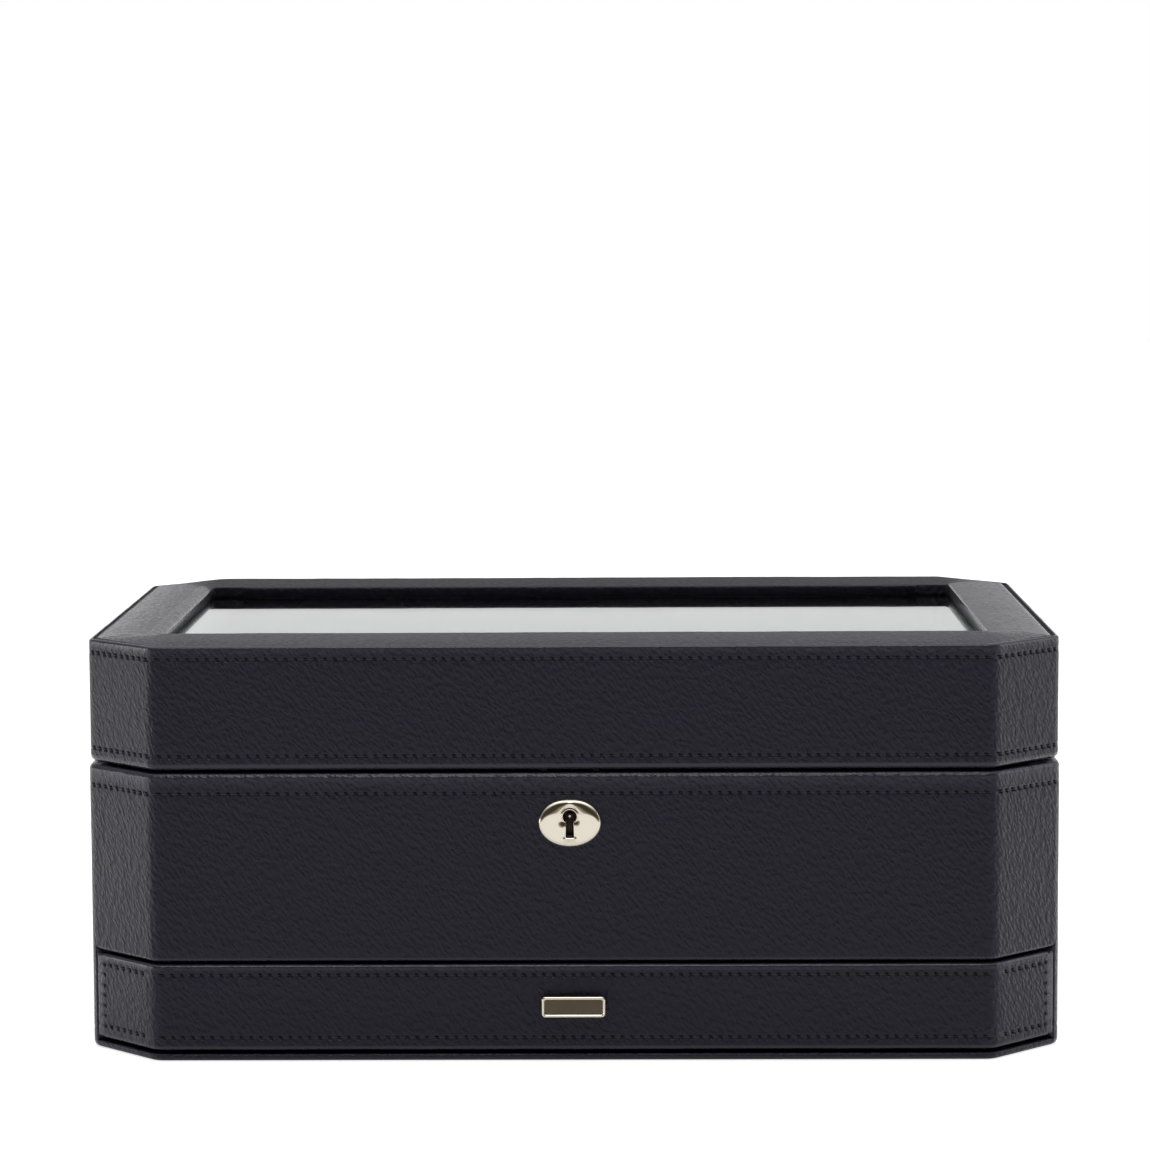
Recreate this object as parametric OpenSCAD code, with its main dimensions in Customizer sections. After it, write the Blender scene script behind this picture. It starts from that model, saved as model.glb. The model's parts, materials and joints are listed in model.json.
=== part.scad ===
// Watch box with cut corners: a leather covered case with a lift-up window lid,
// ten watch places on cushions, a box lock and a shallow drawer under the tray.
// The origin is the middle of the underside, +Z is up and the front faces -Y.

/* [Outside] */
// Overall width, left to right
box_w = 340; // [320:5:400]
// Depth of the case, front to back
box_d = 230; // [195:5:250]
// Plan size of each cut corner
corner_cut = 25; // [20:1:30]
// Height of the case rim above the table
rim_h = 100.7; // [98:0.1:120]
// Gap between rim and lid, filled by the closed hinge leaves
shadow_gap = 1.6; // [1.4:0.1:2.2]
// Height of the lid
lid_h = 42.7; // [38:0.1:60]

/* [Boards and coverings] */
// Thickness of the wall boards
wall_t = 8; // [7:0.5:10]
// Thickness of the leather
leather_t = 1.2; // [0.8:0.1:1.6]
// Thickness of the felt under the base
felt_t = 0.6; // [0.4:0.1:1.5]
// Distance of the felt from the outline
felt_inset = 4; // [2:0.5:10]
// Thickness of the base board
base_t = 1.8; // [1.6:0.1:4]
// Thickness of the deck between tray and drawer
deck_t = 4; // [3:0.5:6]
// Thickness of the suede lining inside the lid
lining_t = 0.8; // [0.5:0.1:1.2]
// Radius of the leather fold along the rim
rim_r = 2.2; // [1.4:0.1:2.6]
// Radius of the leather fold along the lower edge of the lid
lid_fold_r = 2; // [1:0.1:2.4]
// Radius of the leather fold along the base and the lid's top
fold_r = 1; // [0.6:0.1:1.2]

/* [Window lid] */
// Width of the lid's top beside the window
side_rail = 24.5; // [20:0.5:40]
// Width of the lid's top in front of the window
front_rail = 36; // [22:0.5:45]
// Width of the lid's top behind the window
back_rail = 27; // [20:0.5:40]
// Width of the fold along the window's edge
window_fold = 1; // [0.4:0.1:1.1]
// Thickness of the glass
glass_t = 3; // [2:0.5:4]
// Overlap of the glass under the window's edge
glass_lap = 6; // [4:0.5:7]
// Thickness of the board that carries the window
top_board_t = 3.8; // [3:0.1:6]
// Thickness of the inner frame that holds the glass up
retainer_t = 3; // [2:0.5:5]
// Width of the folded edge of the side leather on top of the lid
fold_w = 2; // [1.5:0.1:4]
// Width of the seam between the side leather and the top leather
seam_w = 0.8; // [0.4:0.1:1.5]

/* [Watch tray] */
// Watch places across the width, in each of the two rows
places = 5; // [4:1:6]
// Thickness of the liner boards
liner_t = 3; // [2.5:0.5:4]
// Height of the liner's lip above the rim
lip_h = 6; // [3:0.5:8]
// Clearance between the lip and the lid's lining
lip_gap = 0.8; // [0.6:0.1:1.2]
// Thickness of the dividers
divider_t = 3; // [2:0.5:4]
// Height of the dividers above the deck
divider_h = 51; // [40:1:54]
// Clearance in the halving joints and at the dividers' ends
joint_gap = 0.1; // [0.05:0.05:0.2]
// Gap between a cushion and its divider
cushion_side_gap = 4.4; // [3:0.2:6]
// Length of a watch cushion, front to back
cushion_l = 78; // [60:1:84]
// Height of a watch cushion
cushion_h = 38; // [30:1:44]
// Corner radius of a cushion seen from above
cushion_r = 10; // [9:0.5:12]
// Radius of a cushion's long edges
cushion_roll = 13; // [8:0.5:14]

/* [Drawer] */
// Height of the drawer front
drawer_front_h = 29.7; // [26:0.1:36]
// Gap above and below the drawer front
drawer_gap = 1.5; // [1:0.1:2]
// Width of the guide beside each side of the drawer box
guide_w = 10.3; // [9.5:0.1:20]
// Height of the drawer sides above the drawer's bottom edge
drawer_side_h = 25; // [20:1:28]
// Thickness of the drawer's boards
drawer_board_t = 3; // [2.5:0.5:4]
// Thickness of the pad on the drawer's floor
drawer_pad_t = 2; // [1:0.5:3]
// Room behind the closed drawer
drawer_tail = 10; // [9:1:30]
// Running clearance beside the drawer box
drawer_play = 0.5; // [0.3:0.1:1]
// Clearance between the drawer front's ends and the case
end_gap = 0.4; // [0.3:0.1:0.8]
// Part of the cut corner that stays with the case beside the drawer
stile = 1.6; // [1:0.1:3]
// Width of the runner under each side of the drawer
runner_w = 12; // [8:1:20]
// Height of the guides
guide_h = 12; // [8:1:20]

/* [Hinges] */
// Distance of each hinge's middle from the end of the box
hinge_end = 65; // [55:1:90]
// Length of a hinge
hinge_w = 40; // [30:1:50]
// Radius of the hinge barrel
barrel_r = 2; // [1.8:0.1:2]
// Distance of the hinge axis behind the case
barrel_out = 1.8; // [1.8:0.1:2.4]
// Radius of the hinge pin
pin_r = 0.9; // [0.8:0.05:1.1]
// Radial clearance of the pin in the knuckles
pin_gap = 0.05; // [0.02:0.01:0.08]
// Gap between neighbouring knuckles
knuckle_gap = 0.3; // [0.2:0.05:0.5]

/* [Lock] */
// Position of the lock, to the right of the middle
lock_x = -1; // [-10:0.5:10]
// Width of the lock body
lock_w = 40; // [36:1:50]
// Height of the lock body, rim included
lock_drop = 23; // [22:0.5:30]
// Depth of the lock body, let into the front board
lock_d = 6; // [6:0.1:6.4]
// Thickness of the lock's sheet metal
lock_sheet = 0.7; // [0.5:0.05:0.8]
// Distance of the key's axis below the rim
key_drop = 14.9; // [14:0.1:17]
// Radius of the round part of the keyhole
keyhole_r = 2.4; // [2:0.1:3]
// Length of the keyhole's slot below the key's axis
key_slot = 7.2; // [6:0.1:8]
// Radius of the post that the key turns on
post_r = 0.9; // [0.7:0.1:1.2]
// Travel of the bolt
bolt_travel = 4; // [3.5:0.1:4.5]
// Thickness of the bolt
bolt_t = 1; // [0.8:0.1:1.2]
// Distance between the two staples
staple_pitch = 18; // [16:1:22]
// Clearance round the staples
staple_gap = 0.5; // [0.4:0.05:0.6]
// Width of the oval lock plate
plate_w = 22.1; // [20:0.1:30]
// Height of the oval lock plate
plate_h = 16.9; // [15:0.1:17]
// Rise of the oval lock plate
plate_t = 2.2; // [1.4:0.1:3]

/* [Drawer pull] */
// Width of the pull
pull_w = 22.2; // [18:0.1:40]
// Height of the pull
pull_h = 7.6; // [6:0.1:12]
// Distance of the pull's face from the drawer front
pull_out = 4.5; // [3.5:0.1:8]
// Distance between the pull's screws
pull_pitch = 10; // [8:0.5:12]

/* [Screws] */
// Radius of the screw heads
head_r = 2; // [1.8:0.1:2.2]
// Radius of the screw shanks
shank_r = 0.9; // [0.8:0.1:1]
// Length of the screws in the walls
screw_l = 9; // [6:0.5:12]
// Clearance round the screws
screw_gap = 0.05; // [0.02:0.01:0.1]

/* [Hidden] */
$fn = 48;
eps = 0.01;
past = 1;                                    // how far a cutter runs past a face

base_top = felt_t + base_t;
drawer_z = base_top + drawer_gap;
drawer_top = drawer_z + drawer_front_h;
panel_z = drawer_top + drawer_gap;
deck_top = panel_z + deck_t;
wall_top = rim_h - leather_t;
lid_z = rim_h + shadow_gap;
lid_wall_z = lid_z + leather_t;
lid_top = lid_z + lid_h;

wall_out = leather_t;                        // insets from the outline, outside to inside
wall_in = wall_out + wall_t;
lid_inner = wall_in + lining_t;
lip_out = lid_inner + lip_gap;
lip_min_t = 1.2;                             // least thickness of the liner's lip
tray_in = max(wall_in + liner_t, lip_out + lip_min_t);

front_y = -box_d / 2;
back_y = box_d / 2;
stile_y = front_y + corner_cut - stile;      // front edge of the case beside the drawer
tray_w = box_w - 2 * tray_in;
tray_d = box_d - 2 * tray_in;
place_w = (tray_w - (places - 1) * divider_t) / places;
place_d = (tray_d - divider_t) / 2;

top_board_top = lid_top - leather_t;
glass_top = top_board_top - top_board_t;
retainer_top = glass_top - glass_t;
retainer_z = retainer_top - retainer_t;
pane_gap = 0.3;

hinge_x = box_w / 2 - hinge_end;
pivot_y = back_y + barrel_out;
pivot_z = rim_h + shadow_gap / 2;
leaf_gap = 0.1;
leaf_t = (shadow_gap - leaf_gap) / 2;
knuckles = 5;
knuckle_l = hinge_w / knuckles;
leaf_setback = 0.4;
leaf_in = back_y - wall_in + leaf_setback;   // inner edge of the hinge leaves
hinge_screw_x = hinge_w * 0.32;              // screws to each side of a hinge's middle

bay_x = box_w / 2 - wall_in;                 // half width of the drawer's bay
drawer_x = bay_x - guide_w - drawer_play;    // half width of the drawer box
drawer_back_y = back_y - wall_in - drawer_tail;
drawer_floor = drawer_z + drawer_board_t;
drawer_pads = 3;                             // compartments in the drawer

lock_gap = 0.1;                              // clearance round the lock
lock_back = front_y + wall_in - lock_gap;
lock_front = lock_back - lock_d;
lock_z = rim_h - lock_drop;
rim_plate_t = 1;
rim_plate_over = 6;                          // overhang of the rim plate at each end
screw_edge = 0.6;                            // metal left beyond a screw's head
key_z = rim_h - key_drop;
key_slot_w = 2.9;
key_slot_top_w = 2.3;
cell_front = lock_front + lock_sheet;        // inside of the lock
cell_back = lock_back - lock_sheet;
cell_y = (cell_front + cell_back) / 2;
staple_w = 2;
staple_d = cell_back - cell_front - 2 * staple_gap;
staple_h = 9.8;
staple_z = lid_z - staple_h;
staple_leg = 0.9;
staple_foot = 0.8;
eye_h = 4;
bolt_play = 0.5;
foot_gap = 0.3;
bolt_z = staple_z - foot_gap;                // top of the bolt's bar
bar_h = 3;
arm_w = 2.4;
tongue_w = bolt_travel - bolt_play + foot_gap;  // the arms stop short of the staples
bar_pad_w = 3;
bar_pad_gap = 0.1;
tongue_z = staple_z + staple_foot + bolt_play;

pull_corner = 1.4;
pull_z = drawer_z + drawer_front_h / 2;
pull_step = 0.8;
pull_stem = 1.6;

// ---- outlines and boards ----

// Corners of the plan outline, drawn in by inset, from the right side's front end round.
function corners(inset) =
    let (w = box_w / 2 - inset, d = box_d / 2 - inset, c = corner_cut - inset * (2 - sqrt(2)))
    [[w, c - d], [w, d - c], [w - c, d], [c - w, d], [-w, d - c], [-w, c - d], [c - w, -d], [w - c, -d]];

// Places of the eight walls in the list of corners.
right_wall = 0;
back_wall = 2;
left_wall = 4;
front_wall = 6;
back_corner_walls = [1, 3];
front_corner_walls = [5, 7];
corner_walls = concat(back_corner_walls, front_corner_walls);

module plate(inset, z0, z1) {
    translate([0, 0, z0])
        linear_extrude(z1 - z0)
            polygon(corners(inset));
}

module ring(outer, inner, z0, z1) {
    difference() {
        plate(outer, z0, z1);
        plate(inner, z0 - past, z1 + past);
    }
}

// One mitred wall board.
module wall(i, z0, z1, outer = wall_out, inner = wall_in) {
    a = corners(outer);
    b = corners(inner);
    j = (i + 1) % 8;
    translate([0, 0, z0])
        linear_extrude(z1 - z0)
            polygon([a[i], a[j], b[j], b[i]]);
}

// A solid of the plan outline with its lower and upper edges rounded.
module folded_block(inset, z0, z1, r0, r1) {
    steps = [0, 22.5, 45, 67.5, 90];
    hull() {
        for (a = steps) {
            plate(inset + r0 * (1 - sin(a)), z0 + r0 * (1 - cos(a)), z0 + r0 * (1 - cos(a)) + eps);
            plate(inset + r1 * (1 - sin(a)), z1 - r1 * (1 - cos(a)) - eps, z1 - r1 * (1 - cos(a)));
        }
    }
}

// A box given by its lowest and highest corners.
module block(low, high) {
    translate(low)
        cube(high - low);
}

module rounded_rect(w, h, r) {
    square([w - 2 * r, h], center = true);
    square([w, h - 2 * r], center = true);
    for (x = [-1, 1], y = [-1, 1])
        translate([x * (w / 2 - r), y * (h / 2 - r)])
            circle(r);
}

// Countersunk screw with its head's face at z = 0, pointing down.
module screw_form(length, gap = 0) {
    rotate_extrude()
        polygon([[0, gap], [head_r + gap, gap], [shank_r + gap, shank_r - head_r],
                 [shank_r + gap, shank_r - length - gap], [0, -length - gap]]);
}

module screw(length) {
    slot_w = 0.5;
    slot_h = 0.6;
    difference() {
        screw_form(length);
        block([-head_r, -slot_w / 2, -slot_h], [head_r, slot_w / 2, past]);
    }
}

// ---- base and case ----

module base_felt() {
    color("black")
        plate(felt_inset, 0, felt_t);
}

module base_board() {
    color("burlywood")
        plate(wall_out, felt_t, base_top);
}

module case_side(i) {
    color("tan")
        wall(i, base_top, wall_top);
}

module case_back() {
    color("tan")
        difference() {
            wall(back_wall, base_top, wall_top);
            hinge_case_screw_places() screw_form(screw_l, screw_gap);
        }
}

module case_front() {
    color("tan")
        difference() {
            wall(front_wall, panel_z + leather_t, wall_top);
            lock_space();
            keyhole(front_y, lock_back);
        }
}

module case_corner_boards() {
    color("tan") {
        for (i = back_corner_walls)
            wall(i, base_top, wall_top);
        for (i = front_corner_walls)
            wall(i, panel_z + leather_t, wall_top);
    }
}

module case_leather() {
    color([0.14, 0.14, 0.17])
        difference() {
            folded_block(0, felt_t, rim_h, fold_r, rim_r);
            plate(wall_out, 0, base_top);
            for (i = concat([right_wall, back_wall, left_wall], back_corner_walls))
                wall(i, base_top - eps, wall_top);
            for (i = concat([front_wall], front_corner_walls))
                wall(i, panel_z + leather_t, wall_top);
            plate(wall_in, base_top - eps, rim_h + past);
            drawer_opening();
            lock_space();
            keyhole(front_y, lock_back);
            hinge_case_screw_places() screw_form(screw_l, screw_gap);
        }
}

// Opening for the drawer in the front of the case.
module drawer_opening() {
    block([-box_w, front_y - past, base_top], [box_w, stile_y, panel_z]);
    block([-bay_x, stile_y - eps, base_top], [bay_x, stile_y + corner_cut, panel_z]);
}

module deck_board() {
    color([0.2, 0.2, 0.22])
        plate(wall_in, panel_z, deck_top);
}

// Liner boards whose rebated upper edge stands above the rim, inside the closed lid.
module tray_liner() {
    color([0.2, 0.2, 0.22])
        difference() {
            ring(wall_in, tray_in, deck_top, rim_h + lip_h);
            ring(0, lip_out, rim_h, rim_h + lip_h + past);
        }
}

module long_divider() {
    color([0.25, 0.25, 0.27])
        difference() {
            block([joint_gap - tray_w / 2, -divider_t / 2, deck_top],
                  [tray_w / 2 - joint_gap, divider_t / 2, deck_top + divider_h]);
            for (i = [1:places - 1])
                translate([divider_x(i), 0, 0])
                    block([-divider_t / 2 - joint_gap, -divider_t, deck_top + divider_h / 2],
                          [divider_t / 2 + joint_gap, divider_t, deck_top + divider_h + past]);
        }
}

function divider_x(i) = -tray_w / 2 + i * (place_w + divider_t) - divider_t / 2;

// Cross divider i, notched from below over the long divider.
module cross_divider(i) {
    color([0.25, 0.25, 0.27])
        translate([divider_x(i), 0, 0])
            difference() {
                block([-divider_t / 2, joint_gap - tray_d / 2, deck_top],
                      [divider_t / 2, tray_d / 2 - joint_gap, deck_top + divider_h]);
                block([-divider_t, -divider_t / 2 - joint_gap, deck_top - past],
                      [divider_t, divider_t / 2 + joint_gap, deck_top + divider_h / 2 + joint_gap]);
            }
}

// Cushion i, counted from the front left: rounded along its long edges and at its corners.
module watch_cushion(i) {
    column = (i - 1) % places;
    row = floor((i - 1) / places);
    cushion_w = place_w - 2 * cushion_side_gap;
    x = -tray_w / 2 + place_w / 2 + column * (place_w + divider_t);
    y = (row * 2 - 1) * (place_d + divider_t) / 2;
    color([0.32, 0.32, 0.34])
        translate([x, y, deck_top])
            intersection() {
                linear_extrude(cushion_h)
                    rounded_rect(cushion_w, cushion_l, cushion_r);
                translate([-cushion_w / 2, 0, cushion_h / 2])
                    rotate([90, 0, 90])
                        linear_extrude(cushion_w)
                            rounded_rect(cushion_l, cushion_h, cushion_roll);
            }
}

// ---- drawer ----

// Runner and guide in one strip on each side.
module drawer_runners() {
    guide_x = drawer_x + drawer_play;
    color("burlywood")
        for (side = [0, 1])
            mirror([side, 0, 0])
                intersection() {
                    union() {
                        block([guide_x - runner_w, stile_y, base_top], [box_w, back_y, drawer_z]);
                        block([guide_x, stile_y, base_top], [box_w, back_y, base_top + guide_h]);
                    }
                    plate(wall_in, base_top, base_top + guide_h);
                }
}

// The drawer front's own share of the plan, behind its leather by inset.
module drawer_front_form(z0, z1, inset) {
    intersection() {
        ring(inset, wall_in, z0, z1);
        block([-box_w, front_y - past, z0 - past], [box_w, stile_y - end_gap - inset, z1 + past]);
    }
}

module drawer_front() {
    color("tan")
        difference() {
            drawer_front_form(drawer_z + leather_t, drawer_top - leather_t, wall_out);
            pull_screw_places() screw_form(wall_t + pull_out, screw_gap);
        }
}

module drawer_leather() {
    color([0.14, 0.14, 0.17])
        difference() {
            drawer_front_form(drawer_z, drawer_top, 0);
            drawer_front_form(drawer_z + leather_t, drawer_top - leather_t, wall_out);
            pull_screw_places() screw_form(wall_t + pull_out, screw_gap);
        }
}

// The inside of the drawer front cut to a rectangle of half width x, up to y.
module drawer_floor_form(x, y, z0, z1) {
    intersection() {
        plate(wall_in, z0, z1);
        block([-x, front_y, z0 - past], [x, y, z1 + past]);
    }
}

module drawer_side(side) {
    color("burlywood")
        mirror([side < 0 ? 1 : 0, 0, 0])
            intersection() {
                plate(wall_in, drawer_floor, drawer_z + drawer_side_h);
                block([drawer_x - drawer_board_t, front_y, drawer_floor - past],
                      [drawer_x, drawer_back_y, drawer_z + drawer_side_h + past]);
            }
}

module drawer_back() {
    x = drawer_x - drawer_board_t;
    color("burlywood")
        block([-x, drawer_back_y - drawer_board_t, drawer_floor], [x, drawer_back_y, drawer_z + drawer_side_h]);
}

module drawer_base() {
    color("burlywood")
        drawer_floor_form(drawer_x, drawer_back_y, drawer_z, drawer_floor);
}

module drawer_pad() {
    color([0.3, 0.3, 0.32])
        drawer_floor_form(drawer_x - drawer_board_t, drawer_back_y - drawer_board_t,
                          drawer_floor, drawer_floor + drawer_pad_t);
}

module drawer_dividers() {
    inner_w = 2 * (drawer_x - drawer_board_t);
    color([0.3, 0.3, 0.32])
        for (i = [1:drawer_pads - 1])
            translate([-inner_w / 2 + i * inner_w / drawer_pads, 0, 0])
                block([-divider_t / 2, front_y + wall_in, drawer_floor + drawer_pad_t],
                      [divider_t / 2, drawer_back_y - drawer_board_t, drawer_z + drawer_side_h - drawer_pad_t]);
}

// Screws from behind the drawer front into the pull.
module pull_screw_places() {
    for (side = [-1, 1])
        translate([side * pull_pitch / 2, front_y + wall_in, pull_z])
            rotate([-90, 0, 0])
                children();
}

module pull_slab(w, h, r, y0, y1) {
    translate([0, y1, pull_z])
        rotate([90, 0, 0])
            linear_extrude(y1 - y0)
                rounded_rect(w, h, r);
}

module drawer_pull() {
    face = front_y - pull_out;
    color("silver")
        difference() {
            union() {
                pull_slab(pull_w - 2 * pull_step, pull_h - 2 * pull_step, pull_corner - pull_step / 2,
                          face, face + pull_step);
                pull_slab(pull_w, pull_h, pull_corner, face + pull_step, face + 3 * pull_step);
                pull_slab(pull_w - 2 * pull_stem, pull_h - 2 * pull_stem, pull_corner,
                          face + 2 * pull_step, front_y);
            }
            pull_slab(pull_w - 4 * pull_step, pull_h - 4 * pull_step, pull_corner / 2,
                      face - past, face + pull_step / 2);
            pull_screw_places() screw_form(wall_t + pull_out, screw_gap);
        }
}

module pull_screws() {
    color("silver")
        pull_screw_places() screw(wall_t + pull_out);
}

// ---- lid ----

module lid_front() {
    color("tan")
        difference() {
            wall(front_wall, lid_wall_z, glass_top);
            staple_screw_places() screw_form(screw_l, screw_gap);
        }
}

module lid_back() {
    color("tan")
        difference() {
            wall(back_wall, lid_wall_z, glass_top);
            hinge_lid_screw_places() screw_form(screw_l, screw_gap);
        }
}

module lid_side(i) {
    color("tan")
        wall(i, lid_wall_z, glass_top);
}

module lid_corner_boards() {
    color("tan")
        for (i = corner_walls)
            wall(i, lid_wall_z, glass_top);
}

// A block of the window's plan, wider by margin on all sides.
module window_block(margin, z0, z1) {
    half_w = box_w / 2 - side_rail + margin;
    block([-half_w, front_y + front_rail - margin, z0], [half_w, back_y - back_rail + margin, z1]);
}

module lid_top_board() {
    color("tan")
        difference() {
            plate(wall_out, glass_top, top_board_top);
            window_block(leather_t, glass_top - past, lid_top);
        }
}

module lid_side_leather() {
    color([0.14, 0.14, 0.17])
        difference() {
            folded_block(0, lid_z, lid_top, lid_fold_r, fold_r);
            plate(wall_out, lid_wall_z, top_board_top);
            plate(wall_in, lid_z - past, lid_wall_z + past);
            plate(fold_w, top_board_top - eps, lid_top + past);
            staple_plate_space();
            staple_screw_places() screw_form(screw_l, screw_gap);
            hinge_lid_screw_places() screw_form(screw_l, screw_gap);
        }
}

// Leather over the top board, turned down into the window.
module lid_top_leather() {
    color([0.14, 0.14, 0.17])
        difference() {
            union() {
                folded_block(fold_w + seam_w, top_board_top, lid_top, eps, fold_r);
                window_block(leather_t, glass_top, lid_top - fold_r);
            }
            window_block(0, glass_top - past, lid_top + past);
            hull() {
                window_block(0, lid_top - window_fold - eps, lid_top - window_fold);
                window_block(window_fold, lid_top, lid_top + eps);
            }
        }
}

// The pane's rear corners are ground off along the lining.
module lid_glass() {
    color([0.8, 0.85, 0.85, 0.4])
        intersection() {
            window_block(glass_lap, retainer_top, glass_top);
            plate(lid_inner + pane_gap, retainer_top, glass_top);
        }
}

// Inner frame under the glass.
module glass_retainer() {
    color([0.2, 0.2, 0.22])
        difference() {
            plate(lid_inner, retainer_z, retainer_top);
            window_block(leather_t, retainer_z - past, retainer_top + past);
        }
}

module lid_lining() {
    color([0.2, 0.2, 0.22])
        ring(wall_in, lid_inner, lid_z, glass_top);
}

// ---- hinges ----

// Places that a screw's head takes on the hinge leaves; screws point down into the case.
module hinge_case_screw_places() {
    for (side = [-1, 1], end = [-1, 1])
        translate([side * hinge_x + end * hinge_screw_x, back_y - wall_out - wall_t / 2, rim_h + leaf_t])
            children();
}

module hinge_lid_screw_places() {
    for (side = [-1, 1], end = [-1, 1])
        translate([side * hinge_x + end * hinge_screw_x, back_y - wall_out - wall_t / 2, lid_z - leaf_t])
            rotate([180, 0, 0])
                children();
}

module along_x(x, length, r) {
    translate([x, pivot_y, pivot_z])
        rotate([0, 90, 0])
            cylinder(r = r, h = length);
}

// A hinge leaf at x: the case leaf has the even knuckles and the lid leaf the odd ones.
module hinge_leaf(x, z, own) {
    start = x - hinge_w / 2;
    color("gold")
        difference() {
            union() {
                block([start, leaf_in, z], [start + hinge_w, pivot_y - barrel_r / 2, z + leaf_t]);
                for (k = [own:2:knuckles - 1])
                    along_x(start + k * knuckle_l + knuckle_gap / 2, knuckle_l - knuckle_gap, barrel_r);
            }
            for (k = [1 - own:2:knuckles - 1])
                along_x(start + k * knuckle_l - knuckle_gap / 2, knuckle_l + knuckle_gap, barrel_r + knuckle_gap);
            along_x(start - past, hinge_w + 2 * past, pin_r + pin_gap);
            hinge_case_screw_places() screw_form(screw_l, screw_gap);
            hinge_lid_screw_places() screw_form(screw_l, screw_gap);
        }
}

module hinge_pins() {
    color("gold")
        for (side = [-1, 1])
            along_x(side * hinge_x - hinge_w / 2, hinge_w, pin_r);
}

module hinge_case_screws() {
    color("gold")
        hinge_case_screw_places() screw(screw_l);
}

module hinge_lid_screws() {
    color("gold")
        hinge_lid_screw_places() screw(screw_l);
}

// ---- lock ----

module lock_space() {
    half_w = lock_w / 2 + lock_gap;
    plate_half = half_w + rim_plate_over;
    block([lock_x - half_w, lock_front - lock_gap, lock_z - lock_gap], [lock_x + half_w, front_y + wall_in + eps, rim_h + past]);
    block([lock_x - plate_half, lock_front - lock_gap, rim_h - rim_plate_t],
          [lock_x + plate_half, front_y + wall_in + eps, rim_h + past]);
    lock_screw_places() screw_form(screw_l, screw_gap);
}

// Keyhole outline, run through from y0 to y1.
module keyhole(y0, y1) {
    translate([lock_x, y1 + past, key_z])
        rotate([90, 0, 0])
            linear_extrude(y1 - y0 + 2 * past) {
                circle(keyhole_r);
                polygon([[-key_slot_top_w / 2, 0], [key_slot_top_w / 2, 0],
                         [key_slot_w / 2, -key_slot], [-key_slot_w / 2, -key_slot]]);
            }
}

module lock_screw_places() {
    for (side = [-1, 1])
        translate([lock_x + side * (lock_w / 2 + rim_plate_over - head_r - screw_edge), cell_y, rim_h])
            children();
}

// Two staples stand under the lid and drop through these slots.
module staple_slots(z0, z1) {
    for (side = [-1, 1])
        block([lock_x + side * staple_pitch / 2 - staple_w / 2 - staple_gap, cell_front, z0],
              [lock_x + side * staple_pitch / 2 + staple_w / 2 + staple_gap, cell_back, z1]);
}

module lock_body() {
    half_w = lock_w / 2;
    pad_top = bolt_z - bar_pad_gap;
    pad_x = lock_x - staple_pitch / 2 - bar_pad_w;
    color("gold")
        difference() {
            union() {
                difference() {
                    block([lock_x - half_w, lock_front, lock_z], [lock_x + half_w, lock_back, rim_h]);
                    block([lock_x - half_w + lock_sheet, cell_front, lock_z + lock_sheet],
                          [lock_x + half_w - lock_sheet, cell_back, rim_h - rim_plate_t]);
                    keyhole(lock_front, cell_front - past - eps);
                }
                block([lock_x - half_w - rim_plate_over, lock_front, rim_h - rim_plate_t],
                      [lock_x + half_w + rim_plate_over, lock_back, rim_h]);
                block([pad_x, cell_front - eps, bolt_z - bar_h],
                      [pad_x + bar_pad_w, cell_y - bolt_t / 2 - bar_pad_gap, pad_top]);
                block([pad_x, cell_y + bolt_t / 2 + bar_pad_gap, bolt_z - bar_h],
                      [pad_x + bar_pad_w, cell_back + eps, pad_top]);
                translate([lock_x, cell_back + eps, key_z])
                    rotate([90, 0, 0])
                        cylinder(r = post_r, h = cell_back - front_y);
            }
            staple_slots(rim_h - rim_plate_t - past, rim_h + past);
            lock_screw_places() screw_form(screw_l, screw_gap);
        }
}

// Bar with an arm and a tongue for each staple, drawn back to the left.
module lock_bolt() {
    notch_w = 5;
    notch_h = 1.2;
    bar_left = lock_x - staple_pitch / 2 - staple_w / 2 - bolt_play - tongue_w - arm_w;
    bar_right = bar_left + staple_pitch + arm_w;
    color("gold")
        translate([0, cell_y + bolt_t / 2, 0])
            rotate([90, 0, 0])
                linear_extrude(bolt_t)
                    difference() {
                        union() {
                            translate([bar_left, bolt_z - bar_h])
                                square([bar_right - bar_left, bar_h]);
                            for (x = [bar_left, bar_left + staple_pitch]) {
                                translate([x, bolt_z - eps])
                                    square([arm_w, tongue_z + eye_h - 2 * bolt_play - bolt_z + eps]);
                                translate([x, tongue_z])
                                    square([arm_w + tongue_w, eye_h - 2 * bolt_play]);
                            }
                        }
                        translate([lock_x - notch_w / 2, bolt_z - bar_h - past])
                            square([notch_w, notch_h + past]);
                    }
}

// Oval plate, domed by stacked ellipses.
module oval_slab(w, h, y0, y1) {
    translate([lock_x, y1, key_z + keyhole_r / 2 - key_slot / 2])
        rotate([90, 0, 0])
            linear_extrude(y1 - y0)
                polygon([for (a = [0:7.5:352.5]) [w / 2 * cos(a), h / 2 * sin(a)]]);
}

module lock_plate() {
    steps = 5;
    color("silver")
        difference() {
            hull() {
                oval_slab(plate_w, plate_h, front_y - plate_t / 4, front_y);
                for (i = [1:steps]) {
                    inset = plate_t * 2 * (1 - cos(90 * i / steps));
                    rise = plate_t / 4 + plate_t * 3 / 4 * sin(90 * i / steps);
                    oval_slab(plate_w - 2 * inset, plate_h - 2 * inset, front_y - rise, front_y - rise + eps);
                }
            }
            keyhole(front_y - plate_t, front_y);
        }
}

module lock_screws() {
    color("gold")
        lock_screw_places() screw(screw_l);
}

module staple_plate_space() {
    half_w = lock_w / 2 + rim_plate_over;
    block([lock_x - half_w, lock_front, lid_z - past], [lock_x + half_w, lock_back, lid_wall_z]);
}

module staple_screw_places() {
    for (side = [-1, 1])
        translate([lock_x + side * (lock_w / 2 - rim_plate_over), cell_y, lid_z])
            rotate([180, 0, 0])
                children();
}

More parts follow.
